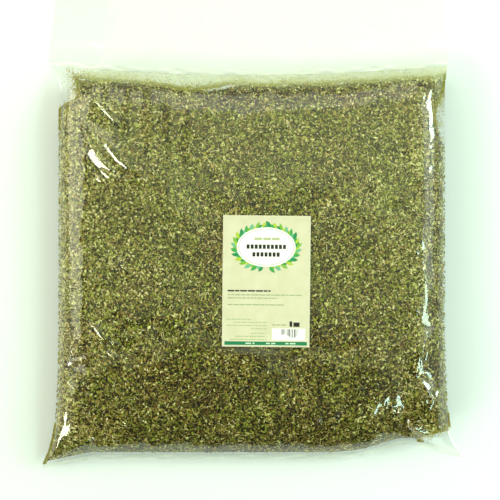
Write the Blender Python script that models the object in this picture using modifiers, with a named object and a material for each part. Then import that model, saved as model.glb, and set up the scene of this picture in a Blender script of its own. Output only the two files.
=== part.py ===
"""A clear film bag of dried, rubbed marjoram that lies on its back, with a paper label on its upper face.

The bag is one flattened tube of film: a pillow between two welds, with four flat ears at its corners and an
empty flap with an open mouth beyond the top weld. +Z is up, +Y runs from the bottom weld to the mouth, and the
origin is the middle of the bag's bounding box on the surface that it lies on. Units are metres.
"""

import math
import random

import bmesh
import bpy
from mathutils import Matrix, Vector
from mathutils.bvhtree import BVHTree

MM = 0.001

# Film of the bag
FILM = 0.4 * MM
PLY_GAP = 0.3 * MM
TOUCH_GAP = 0.3 * MM

# Plan of the bag: the two side folds, the two welds and the mouth
LEFT_FOLD = -225.8 * MM
RIGHT_FOLD = 227.5 * MM
BOTTOM_EDGE = -279.0 * MM
TOP_WELD = 177.7 * MM
TOP_WELD_RISE = 10.5 * MM
MOUTH = 291.5 * MM
MOUTH_LEFT = -233.0 * MM
MOUTH_RIGHT = 231.0 * MM
WELD_BAND = 6.0 * MM

# Ears: how far each corner stands out past the side fold, and over what length it fades
EAR_BOTTOM_LEFT = (22.0 * MM, 34.0 * MM)
EAR_BOTTOM_RIGHT = (20.3 * MM, 34.0 * MM)
EAR_TOP_LEFT = (14.5 * MM, 15.0 * MM)
EAR_TOP_RIGHT = (6.2 * MM, 20.0 * MM)
LEFT_EAR_DROP = 12.0 * MM
LEFT_EAR_START = 190.0 * MM
LEFT_EAR_RUN = 58.0 * MM
RIGHT_TUCK = 17.0 * MM
RIGHT_TUCK_AT = 185.0 * MM
RIGHT_TUCK_HALF = 45.0 * MM

# Heights of the pillow
CROWN = 57.0 * MM
SHOULDER = 45.0 * MM
SIDE_FOLD_HEIGHT = 22.0 * MM
WELD_HEIGHT = 9.0 * MM
FOLD_RISE_RUN = 95.0 * MM
SIDE_ROUND = 40.0 * MM
END_ROUND = 62.0 * MM
UNDERSIDE_ROUND = 30.0 * MM
UNDERSIDE_END_ROUND = 44.0 * MM
FLAP_LANDS = 0.45

# Underside: the film stands a little clear of the surface, but for three low places round the bag's weight
LIFT = 0.8 * MM
LOW_PLACES = ((0.0, 60.0 * MM), (-110.0 * MM, -110.0 * MM), (110.0 * MM, -110.0 * MM))
LOW_CORE = 32.0 * MM
LOW_RIM = 62.0 * MM

# Gathers of the film along the welds, and the larger folds: from, to, half width, height
GATHER_HEIGHT = 1.6 * MM
GATHER_LENGTH = 62.0 * MM
GATHER_FADE = 45.0 * MM
FOLDS = (
    ((-192.0, 116.0), (-119.0, 47.0), 13.0, 4.2),
    ((-214.0, 168.0), (-160.0, 118.0), 9.0, 2.6),
    ((199.0, -118.0), (192.0, -176.0), 10.0, 3.4),
    ((192.0, -176.0), (228.0, -236.0), 11.0, 4.0),
    ((168.0, -246.0), (226.0, -252.0), 9.0, 3.6),
    ((-214.0, -200.0), (-232.0, -268.0), 9.0, 2.4),
    ((-150.0, -150.0), (-190.0, -186.0), 12.0, 1.8),
)

# Grid of the bag
COLUMNS = 30
PILLOW_ROWS = 30
FLAP_ROWS = 4
EDGE_CROWDING = 0.62
FLAT_ANGLE = 0.05

# Dried marjoram
HERB_COLUMNS = 42
HERB_ROWS = 42
HERB_SIDE_INSET = 2.2 * MM
HERB_TOP_INSET = 9.0 * MM
HERB_BOTTOM_INSET = 3.0 * MM
HERB_CLEARANCE = 0.5 * MM
CRUMB_RELIEF = 1.7 * MM
UNDERSIDE_RELIEF = 0.8 * MM
CRUMB_JITTER = 0.32
CRUMB_SEED = 27
LEAF_CRUMBS = 110
STEM_BITS = 40
LEAF_CRUMB = (9.0 * MM, 4.6 * MM, 1.8 * MM)
STEM_BIT = (15.0 * MM, 1.2 * MM)
CRUMB_SUNK = 1.35 * MM
CRUMB_SPREAD = 1.24
CRUMB_BORDER = 0.82

# Paper label
LABEL_WIDTH = 100.0 * MM
LABEL_HEIGHT = 150.0 * MM
LABEL_THICKNESS = 0.3 * MM
LABEL_CENTRE = (17.4 * MM, -66.2 * MM)
LABEL_TURN = -0.6
LABEL_COLUMNS = 6
LABEL_ROWS = 9

FILM_COLOUR = (0.90, 0.95, 0.90, 1.0)
HERB_COLOUR = (0.22, 0.23, 0.08, 1.0)
LABEL_COLOUR = (0.78, 0.85, 0.52, 1.0)


def clear_scene():
    """Removes every object of the scene the script starts in."""
    for obj in list(bpy.data.objects):
        bpy.data.objects.remove(obj)


def collection_named(name):
    """A new collection, linked to the scene."""
    made = bpy.data.collections.new(name)
    bpy.context.scene.collection.children.link(made)
    return made


def material(name, colour, roughness, alpha=1.0):
    """A plain Principled material."""
    made = bpy.data.materials.new(name)
    made.use_nodes = True
    shader = made.node_tree.nodes["Principled BSDF"]
    shader.inputs["Base Color"].default_value = colour
    shader.inputs["Roughness"].default_value = roughness
    shader.inputs["Metallic"].default_value = 0.0
    shader.inputs["Alpha"].default_value = alpha
    return made


def smooth(share):
    """An S-shaped step from 0 to 1."""
    share = min(max(share, 0.0), 1.0)
    return share * share * (3.0 - 2.0 * share)


def rounded(distance, radius, squareness=2.0):
    """A quarter-round rise from 0 at the edge to 1 at the radius."""
    share = 1.0 - min(max(distance / radius, 0.0), 1.0)
    return (1.0 - share**squareness) ** (1.0 / squareness)


def mix(low, high, share):
    return low + (high - low) * share


def ear(distance, size):
    """How far a corner stands out at this distance along the fold from its weld."""
    reach, length = size
    return reach * math.exp(-max(distance, 0.0) / length)


def bottom_edge(x):
    """Y of the free edge of the bottom weld: it drops to the left ear and is tucked up before the right one."""
    drop = LEFT_EAR_DROP * min(max((-x - LEFT_EAR_START) / LEFT_EAR_RUN, 0.0), 1.0)
    tuck = RIGHT_TUCK * math.exp(-(((x - RIGHT_TUCK_AT) / RIGHT_TUCK_HALF) ** 2))
    return BOTTOM_EDGE - drop + tuck


def top_weld(x):
    """Y of the top weld's inner edge, which sags towards the middle."""
    return TOP_WELD + TOP_WELD_RISE * (x / RIGHT_FOLD) ** 2


PILLOW_LENGTH = TOP_WELD - BOTTOM_EDGE - WELD_BAND


def side_folds(along):
    """X of the left and right folds, this far along from the bottom weld's inner edge."""
    from_top = PILLOW_LENGTH - along
    left = LEFT_FOLD - ear(along, EAR_BOTTOM_LEFT) - ear(from_top, EAR_TOP_LEFT)
    right = RIGHT_FOLD + ear(along, EAR_BOTTOM_RIGHT) + ear(from_top, EAR_TOP_RIGHT)
    if from_top < 0.0:
        share = smooth(-from_top / (MOUTH - TOP_WELD))
        return mix(left, MOUTH_LEFT, share), mix(right, MOUTH_RIGHT, share)
    return left, right


def plan(across, along):
    """(x, y) of a point of the bag: across runs from -1 at the left fold to 1, along is in metres."""
    left, right = side_folds(along)
    x = mix(left, right, (across + 1.0) / 2.0)
    low, high = bottom_edge(x) + WELD_BAND, top_weld(x)
    if along <= 0.0:
        return x, low + along
    if along <= PILLOW_LENGTH:
        return x, mix(low, high, along / PILLOW_LENGTH)
    return x, mix(high, MOUTH, (along - PILLOW_LENGTH) / (MOUTH - TOP_WELD))


def fold_relief(x, y):
    """Height that the larger folds add: a ridge along each, with tapered ends."""
    total = 0.0
    for start, end, half_width, height in FOLDS:
        a = Vector(start) * MM
        run = Vector(end) * MM - a
        at = Vector((x, y)) - a
        share = at.dot(run) / run.length_squared
        if not 0.0 < share < 1.0:
            continue
        aside = (at - run * share).length / (half_width * MM)
        total += height * MM * math.sin(math.pi * share) * math.exp(-aside * aside)
    return total


def gathers(x, to_weld):
    """Waves of the film that run out from a weld."""
    wave = math.sin(2.0 * math.pi * x / GATHER_LENGTH) + 0.6 * math.sin(5.3 * math.pi * x / GATHER_LENGTH + 1.1)
    return GATHER_HEIGHT * wave * math.exp(-to_weld / GATHER_FADE)


def underside(x, y):
    """Inner height of the lower ply where the bag lies, which is least at the low places."""
    nearest = min(math.hypot(x - at_x, y - at_y) for at_x, at_y in LOW_PLACES)
    return FILM + LIFT * smooth((nearest - LOW_CORE) / (LOW_RIM - LOW_CORE))


def fold_height(along):
    """Height of the side folds, which fall to the welds at both ends."""
    to_weld = min(along, PILLOW_LENGTH - along)
    return mix(WELD_HEIGHT, SIDE_FOLD_HEIGHT, smooth(to_weld / FOLD_RISE_RUN))


def flap_height(x, past_weld):
    """Height of the flap's lower ply, which falls from the weld to the surface and lies there."""
    share = past_weld / (MOUTH - TOP_WELD)
    fall = 1.0 - smooth(share / FLAP_LANDS)
    ripple = 0.5 + 0.5 * math.sin(2.0 * math.pi * x / (1.7 * GATHER_LENGTH))
    return mix(FILM + LIFT, WELD_HEIGHT, fall) + 2.0 * GATHER_HEIGHT * ripple * fall * (1.0 - fall)


def film_heights(across, along):
    """Inner heights of the lower and the upper ply, which meet at the folds and at the bottom weld's edge."""
    x, y = plan(across, along)
    closed_edge = abs(across) > 1.0 - 1e-6
    if along > PILLOW_LENGTH:
        low = flap_height(x, along - PILLOW_LENGTH)
        return (low + PLY_GAP / 2.0,) * 2 if closed_edge else (low, low + PLY_GAP)
    if along < 0.0:
        return (WELD_HEIGHT,) * 2
    base = fold_height(along)
    if closed_edge:
        return (base,) * 2
    left, right = side_folds(along)
    aside = min(x - left, right - x)
    to_weld = min(along, PILLOW_LENGTH - along)
    full = rounded(aside, SIDE_ROUND) * rounded(to_weld, END_ROUND, 1.7)
    under = rounded(aside, UNDERSIDE_ROUND) * rounded(to_weld, UNDERSIDE_END_ROUND, 1.8)
    middle = (1.0 - across * across) * math.sin(math.pi * min(max(along / PILLOW_LENGTH, 0.0), 1.0))
    top = mix(SHOULDER, CROWN, middle**0.8)
    relief = (fold_relief(x, y) + gathers(x, to_weld)) * smooth(2.0 * full)
    upper = mix(base, top, full) + relief + PLY_GAP / 2.0
    rise = max(base * (1.0 - under) - PLY_GAP / 2.0, 0.0) * (1.0 - (FILM + LIFT) / WELD_HEIGHT)
    lower = underside(x, y) + rise
    return min(lower, upper - PLY_GAP), upper


def crowded(share):
    """A share from 0 to 1 that steps more finely near both ends."""
    eased = (1.0 - math.cos(math.pi * share)) / 2.0
    return mix(share, eased, EDGE_CROWDING)


def stations():
    """Distances along the bag of the grid's rows, from the free edge of the bottom weld to the mouth."""
    pillow = [PILLOW_LENGTH * crowded(row / PILLOW_ROWS) for row in range(PILLOW_ROWS + 1)]
    flap_length = MOUTH - TOP_WELD - WELD_BAND
    flap = [PILLOW_LENGTH + WELD_BAND + flap_length * row / FLAP_ROWS for row in range(FLAP_ROWS + 1)]
    return [-WELD_BAND, *pillow, *flap]


def add_ply(bm, rows, upper):
    """Adds one ply of film to bm: a grid whose corners are moved onto the bag."""
    ply = bmesh.new()
    bmesh.ops.create_grid(ply, x_segments=COLUMNS, y_segments=len(rows) - 1, size=1.0)
    for vertex in ply.verts:
        column = (vertex.co.x + 1.0) / 2.0
        row = round((vertex.co.y + 1.0) / 2.0 * (len(rows) - 1))
        across, along = 2.0 * crowded(column) - 1.0, rows[row]
        x, y = plan(across, along)
        vertex.co = (x, y, film_heights(across, along)[1 if upper else 0])
    if not upper:
        bmesh.ops.reverse_faces(ply, faces=ply.faces)
    mesh = bpy.data.meshes.new("ply")
    ply.to_mesh(mesh)
    ply.free()
    bm.from_mesh(mesh)
    bpy.data.meshes.remove(mesh)


def make_bag(parts, finish):
    """The film bag: two plies joined at the folds and the bottom weld, open at the mouth, with the film's wall."""
    bm = bmesh.new()
    for upper in (False, True):
        add_ply(bm, stations(), upper)
    bmesh.ops.remove_doubles(bm, verts=bm.verts, dist=0.01 * MM)
    mesh = bpy.data.meshes.new("film_bag")
    bm.to_mesh(mesh)
    bm.free()
    mesh.materials.append(finish)
    mesh.shade_smooth()
    bag = bpy.data.objects.new("film_bag", mesh)
    parts.objects.link(bag)
    wall = bag.modifiers.new("wall", "SOLIDIFY")
    wall.thickness = FILM
    wall.offset = 1.0
    flats = bag.modifiers.new("flats", "DECIMATE")
    flats.decimate_type = "DISSOLVE"
    flats.angle_limit = math.radians(FLAT_ANGLE)
    return bag


class Shell:
    """The heights of a surface above and below a point of the plan."""

    def __init__(self, bm):
        bmesh.ops.triangulate(bm, faces=bm.faces)
        self.tree = BVHTree.FromBMesh(bm)

    def upper(self, x, y):
        hit = self.tree.ray_cast(Vector((x, y, 1.0)), Vector((0.0, 0.0, -1.0)))[0]
        return None if hit is None else hit.z

    def lower(self, x, y):
        hit = self.tree.ray_cast(Vector((x, y, -1.0)), Vector((0.0, 0.0, 1.0)))[0]
        return None if hit is None else hit.z


def inner_shell(bag):
    """The bag's inner surface, which is its mesh without the wall."""
    bm = bmesh.new()
    bm.from_mesh(bag.data)
    return Shell(bm)


def outer_shell(bag):
    """The bag's outer surface, with its wall."""
    evaluated = bag.evaluated_get(bpy.context.evaluated_depsgraph_get())
    bm = bmesh.new()
    bm.from_mesh(evaluated.to_mesh())
    evaluated.to_mesh_clear()
    return Shell(bm)


def around(reach):
    """A point and eight around it, at this reach."""
    steps = (-reach, 0.0, reach)
    return [(dx, dy) for dx in steps for dy in steps]


def herb_plan(across, share):
    """(x, y) of a point of the herb's outline or inside it: the bag's plan, drawn in from its folds and welds."""
    along = mix(HERB_BOTTOM_INSET, PILLOW_LENGTH - HERB_TOP_INSET, share)
    left, right = side_folds(along)
    pull = 1.0 - 2.0 * HERB_SIDE_INSET / (right - left)
    return plan(across * pull, along)


def herb_grid(shell, upper, seed):
    """One side of the herb: a grid under the film, jittered and raised by crumbs drawn from the seed."""
    draw = random.Random(seed)
    bm = bmesh.new()
    bmesh.ops.create_grid(bm, x_segments=HERB_COLUMNS, y_segments=HERB_ROWS, size=1.0)
    reach = 3.0 * MM
    for vertex in bm.verts:
        across, share = vertex.co.x, (vertex.co.y + 1.0) / 2.0
        border = max(abs(across), abs(vertex.co.y)) > 1.0 - 1e-6
        if not border:
            across += draw.uniform(-CRUMB_JITTER, CRUMB_JITTER) * 2.0 / HERB_COLUMNS
            share += draw.uniform(-CRUMB_JITTER, CRUMB_JITTER) / HERB_ROWS
        spread = 2.0 * crowded((across + 1.0) / 2.0) - 1.0
        x, y = herb_plan(spread, crowded(share))
        top = min(filter(None, (shell.upper(x + dx, y + dy) for dx, dy in around(reach))))
        floor = max(filter(None, (shell.lower(x + dx, y + dy) for dx, dy in around(reach))))
        relief = draw.random()
        if border:
            z = mix(floor, top, 0.5)
        elif upper:
            z = max(top - HERB_CLEARANCE - CRUMB_RELIEF * relief, mix(floor, top, 0.5) + TOUCH_GAP)
        else:
            z = min(floor + HERB_CLEARANCE + UNDERSIDE_RELIEF * relief, mix(floor, top, 0.5) - TOUCH_GAP)
        vertex.co = (x, y, z)
    if not upper:
        bmesh.ops.reverse_faces(bm, faces=bm.faces)
    mesh = bpy.data.meshes.new("herb_side")
    bm.to_mesh(mesh)
    bm.free()
    return mesh


def leaf_crumb(name):
    """A crumb of leaf: a thin rhombic plate, folded along its rib."""
    length, width, thickness = LEAF_CRUMB
    bm = bmesh.new()
    bmesh.ops.create_cone(bm, segments=4, radius1=0.5, radius2=0.42, depth=1.0, cap_ends=True)
    bmesh.ops.scale(bm, verts=bm.verts, vec=(length, width, thickness))
    mesh = bpy.data.meshes.new(name)
    bm.to_mesh(mesh)
    bm.free()
    return mesh


def stem_bit(name):
    """A broken bit of stem: a three-sided rod."""
    length, radius = STEM_BIT
    bm = bmesh.new()
    bmesh.ops.create_cone(bm, segments=3, radius1=radius, radius2=radius * 0.8, depth=length, cap_ends=True)
    bmesh.ops.rotate(bm, verts=bm.verts, matrix=Matrix.Rotation(math.pi / 2.0, 3, "Y"))
    mesh = bpy.data.meshes.new(name)
    bm.to_mesh(mesh)
    bm.free()
    return mesh


def lie_under(shell, x, y, heading, half_length, half_width):
    """Height and slope at which a crumb of this size lies under the film."""
    ahead = Vector((math.cos(heading), math.sin(heading)))
    aside = Vector((-ahead.y, ahead.x))
    places = [(0.25 * step - 1.0, side) for step in range(9) for side in (-1.0, 0.0, 1.0)]
    tops = []
    for share, side in places:
        at = Vector((x, y)) + ahead * share * half_length + aside * side * half_width
        tops.append((share * half_length, shell.upper(at.x, at.y)))
    slope = (tops[-2][1] - tops[1][1]) / (2.0 * half_length)
    return min(top - slope * distance for distance, top in tops), math.atan(slope)


def scatter_crumbs(shell, holder):
    """Larger crumbs and stem bits, sunk in the herb's upper side at seeded places and kept under the film."""
    draw = random.Random(CRUMB_SEED + 2)
    leaf = (leaf_crumb("leaf_crumb"), LEAF_CRUMB[0] / 2.0, LEAF_CRUMB[1] / 2.0)
    stem = (stem_bit("stem_bit"), STEM_BIT[0] / 2.0, STEM_BIT[1])
    kinds = [leaf] * LEAF_CRUMBS + [stem] * STEM_BITS
    draw.shuffle(kinds)
    golden = math.pi * (3.0 - math.sqrt(5.0))
    for index, (mesh, half_length, half_width) in enumerate(kinds):
        radius = math.sqrt((index + 0.5) / len(kinds)) * CRUMB_SPREAD
        across = radius * math.cos(index * golden)
        share = 0.5 + 0.5 * radius * math.sin(index * golden)
        if abs(across) > CRUMB_BORDER or abs(2.0 * share - 1.0) > CRUMB_BORDER:
            continue
        x, y = herb_plan(across, share)
        heading = draw.uniform(0.0, math.pi)
        top, slope = lie_under(shell, x, y, heading, half_length, half_width)
        piece = bpy.data.objects.new(mesh.name, mesh)
        place = Matrix.Translation((x, y, top - HERB_CLEARANCE - CRUMB_SUNK))
        piece.matrix_world = place @ Matrix.Rotation(heading, 4, "Z") @ Matrix.Rotation(-slope, 4, "Y")
        holder.objects.link(piece)


def join_crumbs(herb, holder):
    """Fuses the crumbs with the herb and removes their own objects."""
    union = herb.modifiers.new("crumbs", "BOOLEAN")
    union.operation = "UNION"
    union.operand_type = "COLLECTION"
    union.collection = holder
    union.solver = "MANIFOLD"
    evaluated = herb.evaluated_get(bpy.context.evaluated_depsgraph_get())
    mesh = bpy.data.meshes.new_from_object(evaluated)
    herb.modifiers.clear()
    herb.data = mesh
    for piece in list(holder.objects):
        bpy.data.objects.remove(piece)
    bpy.data.collections.remove(holder)


def make_herb(parts, finish, shell):
    """The dried marjoram: one mass of crumbs that fills the pillow."""
    bm = bmesh.new()
    for upper in (False, True):
        side = herb_grid(shell, upper, CRUMB_SEED + upper)
        bm.from_mesh(side)
        bpy.data.meshes.remove(side)
    bmesh.ops.remove_doubles(bm, verts=bm.verts, dist=0.01 * MM)
    mesh = bpy.data.meshes.new("dried_marjoram")
    bm.to_mesh(mesh)
    bm.free()
    mesh.materials.append(finish)
    herb = bpy.data.objects.new("dried_marjoram", mesh)
    parts.objects.link(herb)
    holder = collection_named("crumbs")
    scatter_crumbs(shell, holder)
    join_crumbs(herb, holder)
    return herb


def make_label(parts, finish, shell):
    """The paper label, which follows the film's upper face."""
    turn = Matrix.Rotation(math.radians(LABEL_TURN), 2)
    bm = bmesh.new()
    bmesh.ops.create_grid(bm, x_segments=LABEL_COLUMNS, y_segments=LABEL_ROWS, size=0.5)
    for vertex in bm.verts:
        on_paper = Vector((vertex.co.x * LABEL_WIDTH, vertex.co.y * LABEL_HEIGHT))
        x, y = turn @ on_paper + Vector(LABEL_CENTRE)
        height = max(shell.upper(x + dx, y + dy) for dx, dy in around(2.0 * MM))
        vertex.co = (x, y, height + TOUCH_GAP)
    mesh = bpy.data.meshes.new("paper_label")
    bm.to_mesh(mesh)
    bm.free()
    mesh.materials.append(finish)
    label = bpy.data.objects.new("paper_label", mesh)
    parts.objects.link(label)
    paper = label.modifiers.new("paper", "SOLIDIFY")
    paper.thickness = LABEL_THICKNESS
    paper.offset = 1.0
    return label


def main():
    clear_scene()
    parts = collection_named("bag_of_dried_marjoram")
    bag = make_bag(parts, material("clear_film", FILM_COLOUR, 0.08, alpha=0.25))
    make_herb(parts, material("dried_herb", HERB_COLOUR, 0.9), inner_shell(bag))
    make_label(parts, material("label_paper", LABEL_COLOUR, 0.55), outer_shell(bag))


main()
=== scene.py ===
"""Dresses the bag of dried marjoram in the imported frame: clear film, crumbled herb and a printed label.

Shapes are worked out in millimetres, as functions of two parameters on a grid, and turned to metres when they
become meshes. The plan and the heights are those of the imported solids. The film's creases, the crumbs and the
print are added to them here.
"""

import logging  # noqa: E402
import math  # noqa: E402
from collections.abc import Mapping, Sequence  # noqa: E402
from dataclasses import dataclass, field, replace  # noqa: E402
from enum import Enum  # noqa: E402

import bmesh  # noqa: E402
import bpy  # noqa: E402
import numpy as np  # noqa: E402
from mathutils import Matrix, Vector  # noqa: E402


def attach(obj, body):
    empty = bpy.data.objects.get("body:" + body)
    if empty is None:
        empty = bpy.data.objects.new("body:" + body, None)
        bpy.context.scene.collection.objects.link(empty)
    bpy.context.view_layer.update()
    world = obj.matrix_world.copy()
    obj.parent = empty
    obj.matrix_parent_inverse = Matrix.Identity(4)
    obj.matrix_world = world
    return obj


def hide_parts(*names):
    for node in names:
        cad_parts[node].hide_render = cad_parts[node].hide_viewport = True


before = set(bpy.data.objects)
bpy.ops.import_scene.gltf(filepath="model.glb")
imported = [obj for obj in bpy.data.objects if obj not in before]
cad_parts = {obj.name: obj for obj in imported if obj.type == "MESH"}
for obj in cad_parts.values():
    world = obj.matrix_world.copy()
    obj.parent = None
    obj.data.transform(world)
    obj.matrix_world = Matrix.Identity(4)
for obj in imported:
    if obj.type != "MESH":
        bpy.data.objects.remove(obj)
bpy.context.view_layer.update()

LOG = logging.getLogger("bag_of_dried_marjoram")
MM = 0.001
Point = tuple[float, float]
Point3 = tuple[float, float, float]
Array = np.ndarray
Piece = bpy.types.Object
Tree = bpy.types.NodeTree
Node = bpy.types.Node
Socket = bpy.types.NodeSocket
Stops = Sequence[tuple[float, str]]
Spots = tuple[Array, Array, Array, Array]

INNER = 1.0 - 1e-6
"""Largest share across or along that still counts as inside the edge."""


# Colour and nodes


def colour(hex_code: str) -> tuple[float, float, float, float]:
    """Turns an sRGB hex colour to the linear values that shaders take.

    Args:
        hex_code: six hex digits, with or without a leading hash.

    Returns:
        Linear red, green, blue and an alpha of 1.
    """
    digits = hex_code.lstrip("#")
    shares = [int(digits[i : i + 2], 16) / 255.0 for i in (0, 2, 4)]
    red, green, blue = (s / 12.92 if s <= 0.04045 else ((s + 0.055) / 1.055) ** 2.4 for s in shares)
    return red, green, blue, 1.0


def add_node(
    tree: Tree, kind: str, inputs: Mapping[str | int, object] | None = None, **settings: object
) -> Node:
    """Adds one node with its settings, values and links.

    Args:
        tree: the node tree it goes into.
        kind: the node's type name.
        inputs: for each input, by name or number, a value or the output socket that feeds it.
        **settings: properties of the node itself.

    Returns:
        The new node.
    """
    made = tree.nodes.new(kind)
    for name, value in settings.items():
        setattr(made, name, value)
    for key, value in (inputs or {}).items():
        if isinstance(value, Socket):
            tree.links.new(value, made.inputs[key])
        else:
            made.inputs[key].default_value = value
    return made


def colour_ramp(tree: Tree, factor: Socket, stops: Stops) -> Socket:
    """Adds a ramp of colours over a factor.

    Args:
        tree: the node tree it goes into.
        factor: the socket that picks the place on the ramp.
        stops: positions from 0 to 1 with their hex colours, in order.

    Returns:
        The ramp's colour socket.
    """
    ramp = add_node(tree, "ShaderNodeValToRGB", {"Fac": factor})
    elements = ramp.color_ramp.elements
    while len(elements) < len(stops):
        elements.new(0.5)
    for element, (position, hex_code) in zip(elements, stops, strict=True):
        element.position = position
        element.color = colour(hex_code)
    return ramp.outputs["Color"]


def per_mm(size: float) -> float:
    """Scale of a noise or cell texture on Object coordinates whose features are this many millimetres."""
    return 1.0 / (size * MM)


def noise(tree: Tree, size: float, **inputs: float) -> Socket:
    """Noise from 0 to 1 on Object coordinates, with features of this many millimetres."""
    place = add_node(tree, "ShaderNodeTexCoord").outputs["Object"]
    settings = {"Vector": place, "Scale": per_mm(size), **inputs}
    return add_node(tree, "ShaderNodeTexNoise", settings).outputs["Fac"]


def bump(tree: Tree, height: Socket, strength: float, depth: float, invert: bool = False) -> Socket:
    """The normal that a height gives, where its whole range is this many millimetres."""
    inputs = {"Height": height, "Strength": strength, "Distance": depth * MM}
    return add_node(tree, "ShaderNodeBump", inputs, invert=invert).outputs["Normal"]


def carried(tree: Tree, value: Socket, given: Point, wanted: Point, **settings: object) -> Socket:
    """Carries a value from one stretch of numbers to another."""
    ends = dict(zip(("From Min", "From Max", "To Min", "To Max"), (*given, *wanted), strict=True))
    inputs = {"Value": value, **ends}
    return add_node(tree, "ShaderNodeMapRange", inputs, **settings).outputs["Result"]


def computed(tree: Tree, operation: str, first: Socket, second: Socket | float) -> Socket:
    """The result of one sum on two values."""
    return add_node(tree, "ShaderNodeMath", {0: first, 1: second}, operation=operation).outputs[0]


def mixed(tree: Tree, share: Socket | float, first: Socket, second: Socket) -> Socket:
    """A mix of two shaders, with this share of the second."""
    return add_node(tree, "ShaderNodeMixShader", {0: share, 1: first, 2: second}).outputs["Shader"]


def stored(tree: Tree, name: str, output: str = "Fac") -> Socket:
    """A value that the mesh stores."""
    return add_node(tree, "ShaderNodeAttribute", attribute_name=name).outputs[output]


def coat(tree: Tree, out: Node, inputs: Mapping[str | int, object]) -> None:
    """Ends a tree in one Principled BSDF."""
    body = add_node(tree, "ShaderNodeBsdfPrincipled", inputs)
    tree.links.new(body.outputs["BSDF"], out.inputs["Surface"])


@dataclass(frozen=True)
class Finish:
    """A finish: its name and the nodes that make it."""

    name: str

    def dress(self, tree: Tree, out: Node) -> None:
        """Adds the finish's nodes to a tree that holds only its output."""
        raise NotImplementedError

    def material(self) -> bpy.types.Material:
        """Makes the material, once for each name."""
        known = bpy.data.materials.get(self.name)
        if known is not None:
            return known
        made = bpy.data.materials.new(self.name)
        made.use_nodes = True
        tree = made.node_tree
        tree.nodes.clear()
        self.dress(tree, add_node(tree, "ShaderNodeOutputMaterial"))
        return made


@dataclass(frozen=True)
class ClearFilm(Finish):
    """Blown polythene film: clear and glossy, with a slight haze, fine ripples and powder that clings to it.

    The real film is about 0.08 mm thick, so it doesn't bend what is seen through it, and its two faces mirror
    together as one face of a higher index does.
    """

    name: str = "blown_polythene_film"
    index: float = 1.8
    mirror_limit: float = 0.17
    roughness: float = 0.05
    soft_roughness: float = 0.24
    soft_share: float = 0.28
    haze: float = 0.002
    haze_spread: float = 0.005
    tint: str = "#FEFFFE"
    haze_colour: str = "#F4F8EE"
    powder_colour: str = "#C6CC9A"
    ripple: float = 0.12
    ripple_size: float = 9.0
    ripple_depth: float = 0.9
    haze_size: float = 55.0
    haze_stretch: Point = (0.35, 0.70)
    patches: Point = (0.3, 0.7)
    patch_cover: Point = (0.8, 1.15)

    def dress(self, tree: Tree, out: Node) -> None:
        """Mixes what is seen through the film with haze and then with the mirror of its faces."""
        fine = noise(tree, self.ripple_size, Detail=1.5)
        broad = noise(tree, self.haze_size, Detail=3.0)
        normal = bump(tree, fine, self.ripple, self.ripple_depth)
        clear = add_node(tree, "ShaderNodeBsdfTransparent", {"Color": colour(self.tint)}).outputs["BSDF"]
        milky, dusty = (
            add_node(tree, "ShaderNodeBsdfDiffuse", {"Color": colour(code)}).outputs["BSDF"]
            for code in (self.haze_colour, self.powder_colour)
        )
        cloud = carried(tree, broad, self.haze_stretch, (self.haze, self.haze + self.haze_spread))
        patchy = carried(tree, fine, self.patches, self.patch_cover)
        cover = computed(tree, "MULTIPLY", stored(tree, "powder"), patchy)
        body = mixed(tree, cover, mixed(tree, cloud, clear, milky), dusty)
        white = colour("#FFFFFF")
        sharp, soft = (
            add_node(
                tree, "ShaderNodeBsdfGlossy", {"Color": white, "Roughness": rough, "Normal": normal}
            ).outputs["BSDF"]
            for rough in (self.roughness, self.soft_roughness)
        )
        mirrored = add_node(tree, "ShaderNodeFresnel", {"IOR": self.index, "Normal": normal}).outputs["Fac"]
        share = computed(tree, "MINIMUM", mirrored, self.mirror_limit)
        film = mixed(tree, share, body, mixed(tree, self.soft_share, sharp, soft))
        tree.links.new(film, out.inputs["Surface"])


@dataclass(frozen=True)
class HerbBed(Finish):
    """Packed crumbs of dried leaf: matt, olive to brown, painted dark for the shade in the gaps between the
    crumbs.
    """

    name: str = "packed_marjoram_with_painted_shade"
    crumb: float = 2.4
    # Near black to dark olive: painted shade that shows between the loose crumbs.
    stops: tuple[tuple[float, str], ...] = (
        (0.00, "#150F03"),
        (0.40, "#261D06"),
        (0.75, "#3C330B"),
        (1.00, "#585016"),
    )

    def dress(self, tree: Tree, out: Node) -> None:
        """Colours each cell of a cell pattern by its own draw, and raises the cells as crumbs."""
        place = add_node(tree, "ShaderNodeTexCoord").outputs["Object"]
        cells = add_node(tree, "ShaderNodeTexVoronoi", {"Vector": place, "Scale": per_mm(self.crumb)})
        draw = add_node(tree, "ShaderNodeSeparateColor", {"Color": cells.outputs["Color"]}).outputs["Red"]
        shade = colour_ramp(tree, draw, self.stops)
        normal = bump(tree, cells.outputs["Distance"], 0.8, 0.8, invert=True)
        coat(tree, out, {"Base Color": shade, "Roughness": 0.92, "Specular IOR Level": 0.2, "Normal": normal})


@dataclass(frozen=True)
class Crumbs(Finish):
    """Loose crumbs, each of one tone from the palette, with a little mottle: matt dried leaf or stem."""

    name: str = "rubbed_marjoram_leaf"
    stops: tuple[tuple[float, str], ...] = ()
    brown_stops: tuple[tuple[float, str], ...] = ()
    roughness: float = 0.85
    mottle: float = 0.14
    mottle_size: float = 1.1

    def dress(self, tree: Tree, out: Node) -> None:
        """Reads each crumb's own tone from its mesh and shifts it a little by fine noise."""
        shift = carried(tree, noise(tree, self.mottle_size), (0.0, 1.0), (-self.mottle, self.mottle))
        on_ramp = computed(tree, "ADD", stored(tree, "tone"), shift)
        shade = colour_ramp(tree, on_ramp, self.stops)
        if self.brown_stops:
            browns = colour_ramp(tree, on_ramp, self.brown_stops)
            inputs = {"Factor": stored(tree, "brown"), "A": shade, "B": browns}
            shade = add_node(tree, "ShaderNodeMix", inputs, data_type="RGBA").outputs["Result"]
        coat(tree, out, {"Base Color": shade, "Roughness": self.roughness, "Specular IOR Level": 0.3})


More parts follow.
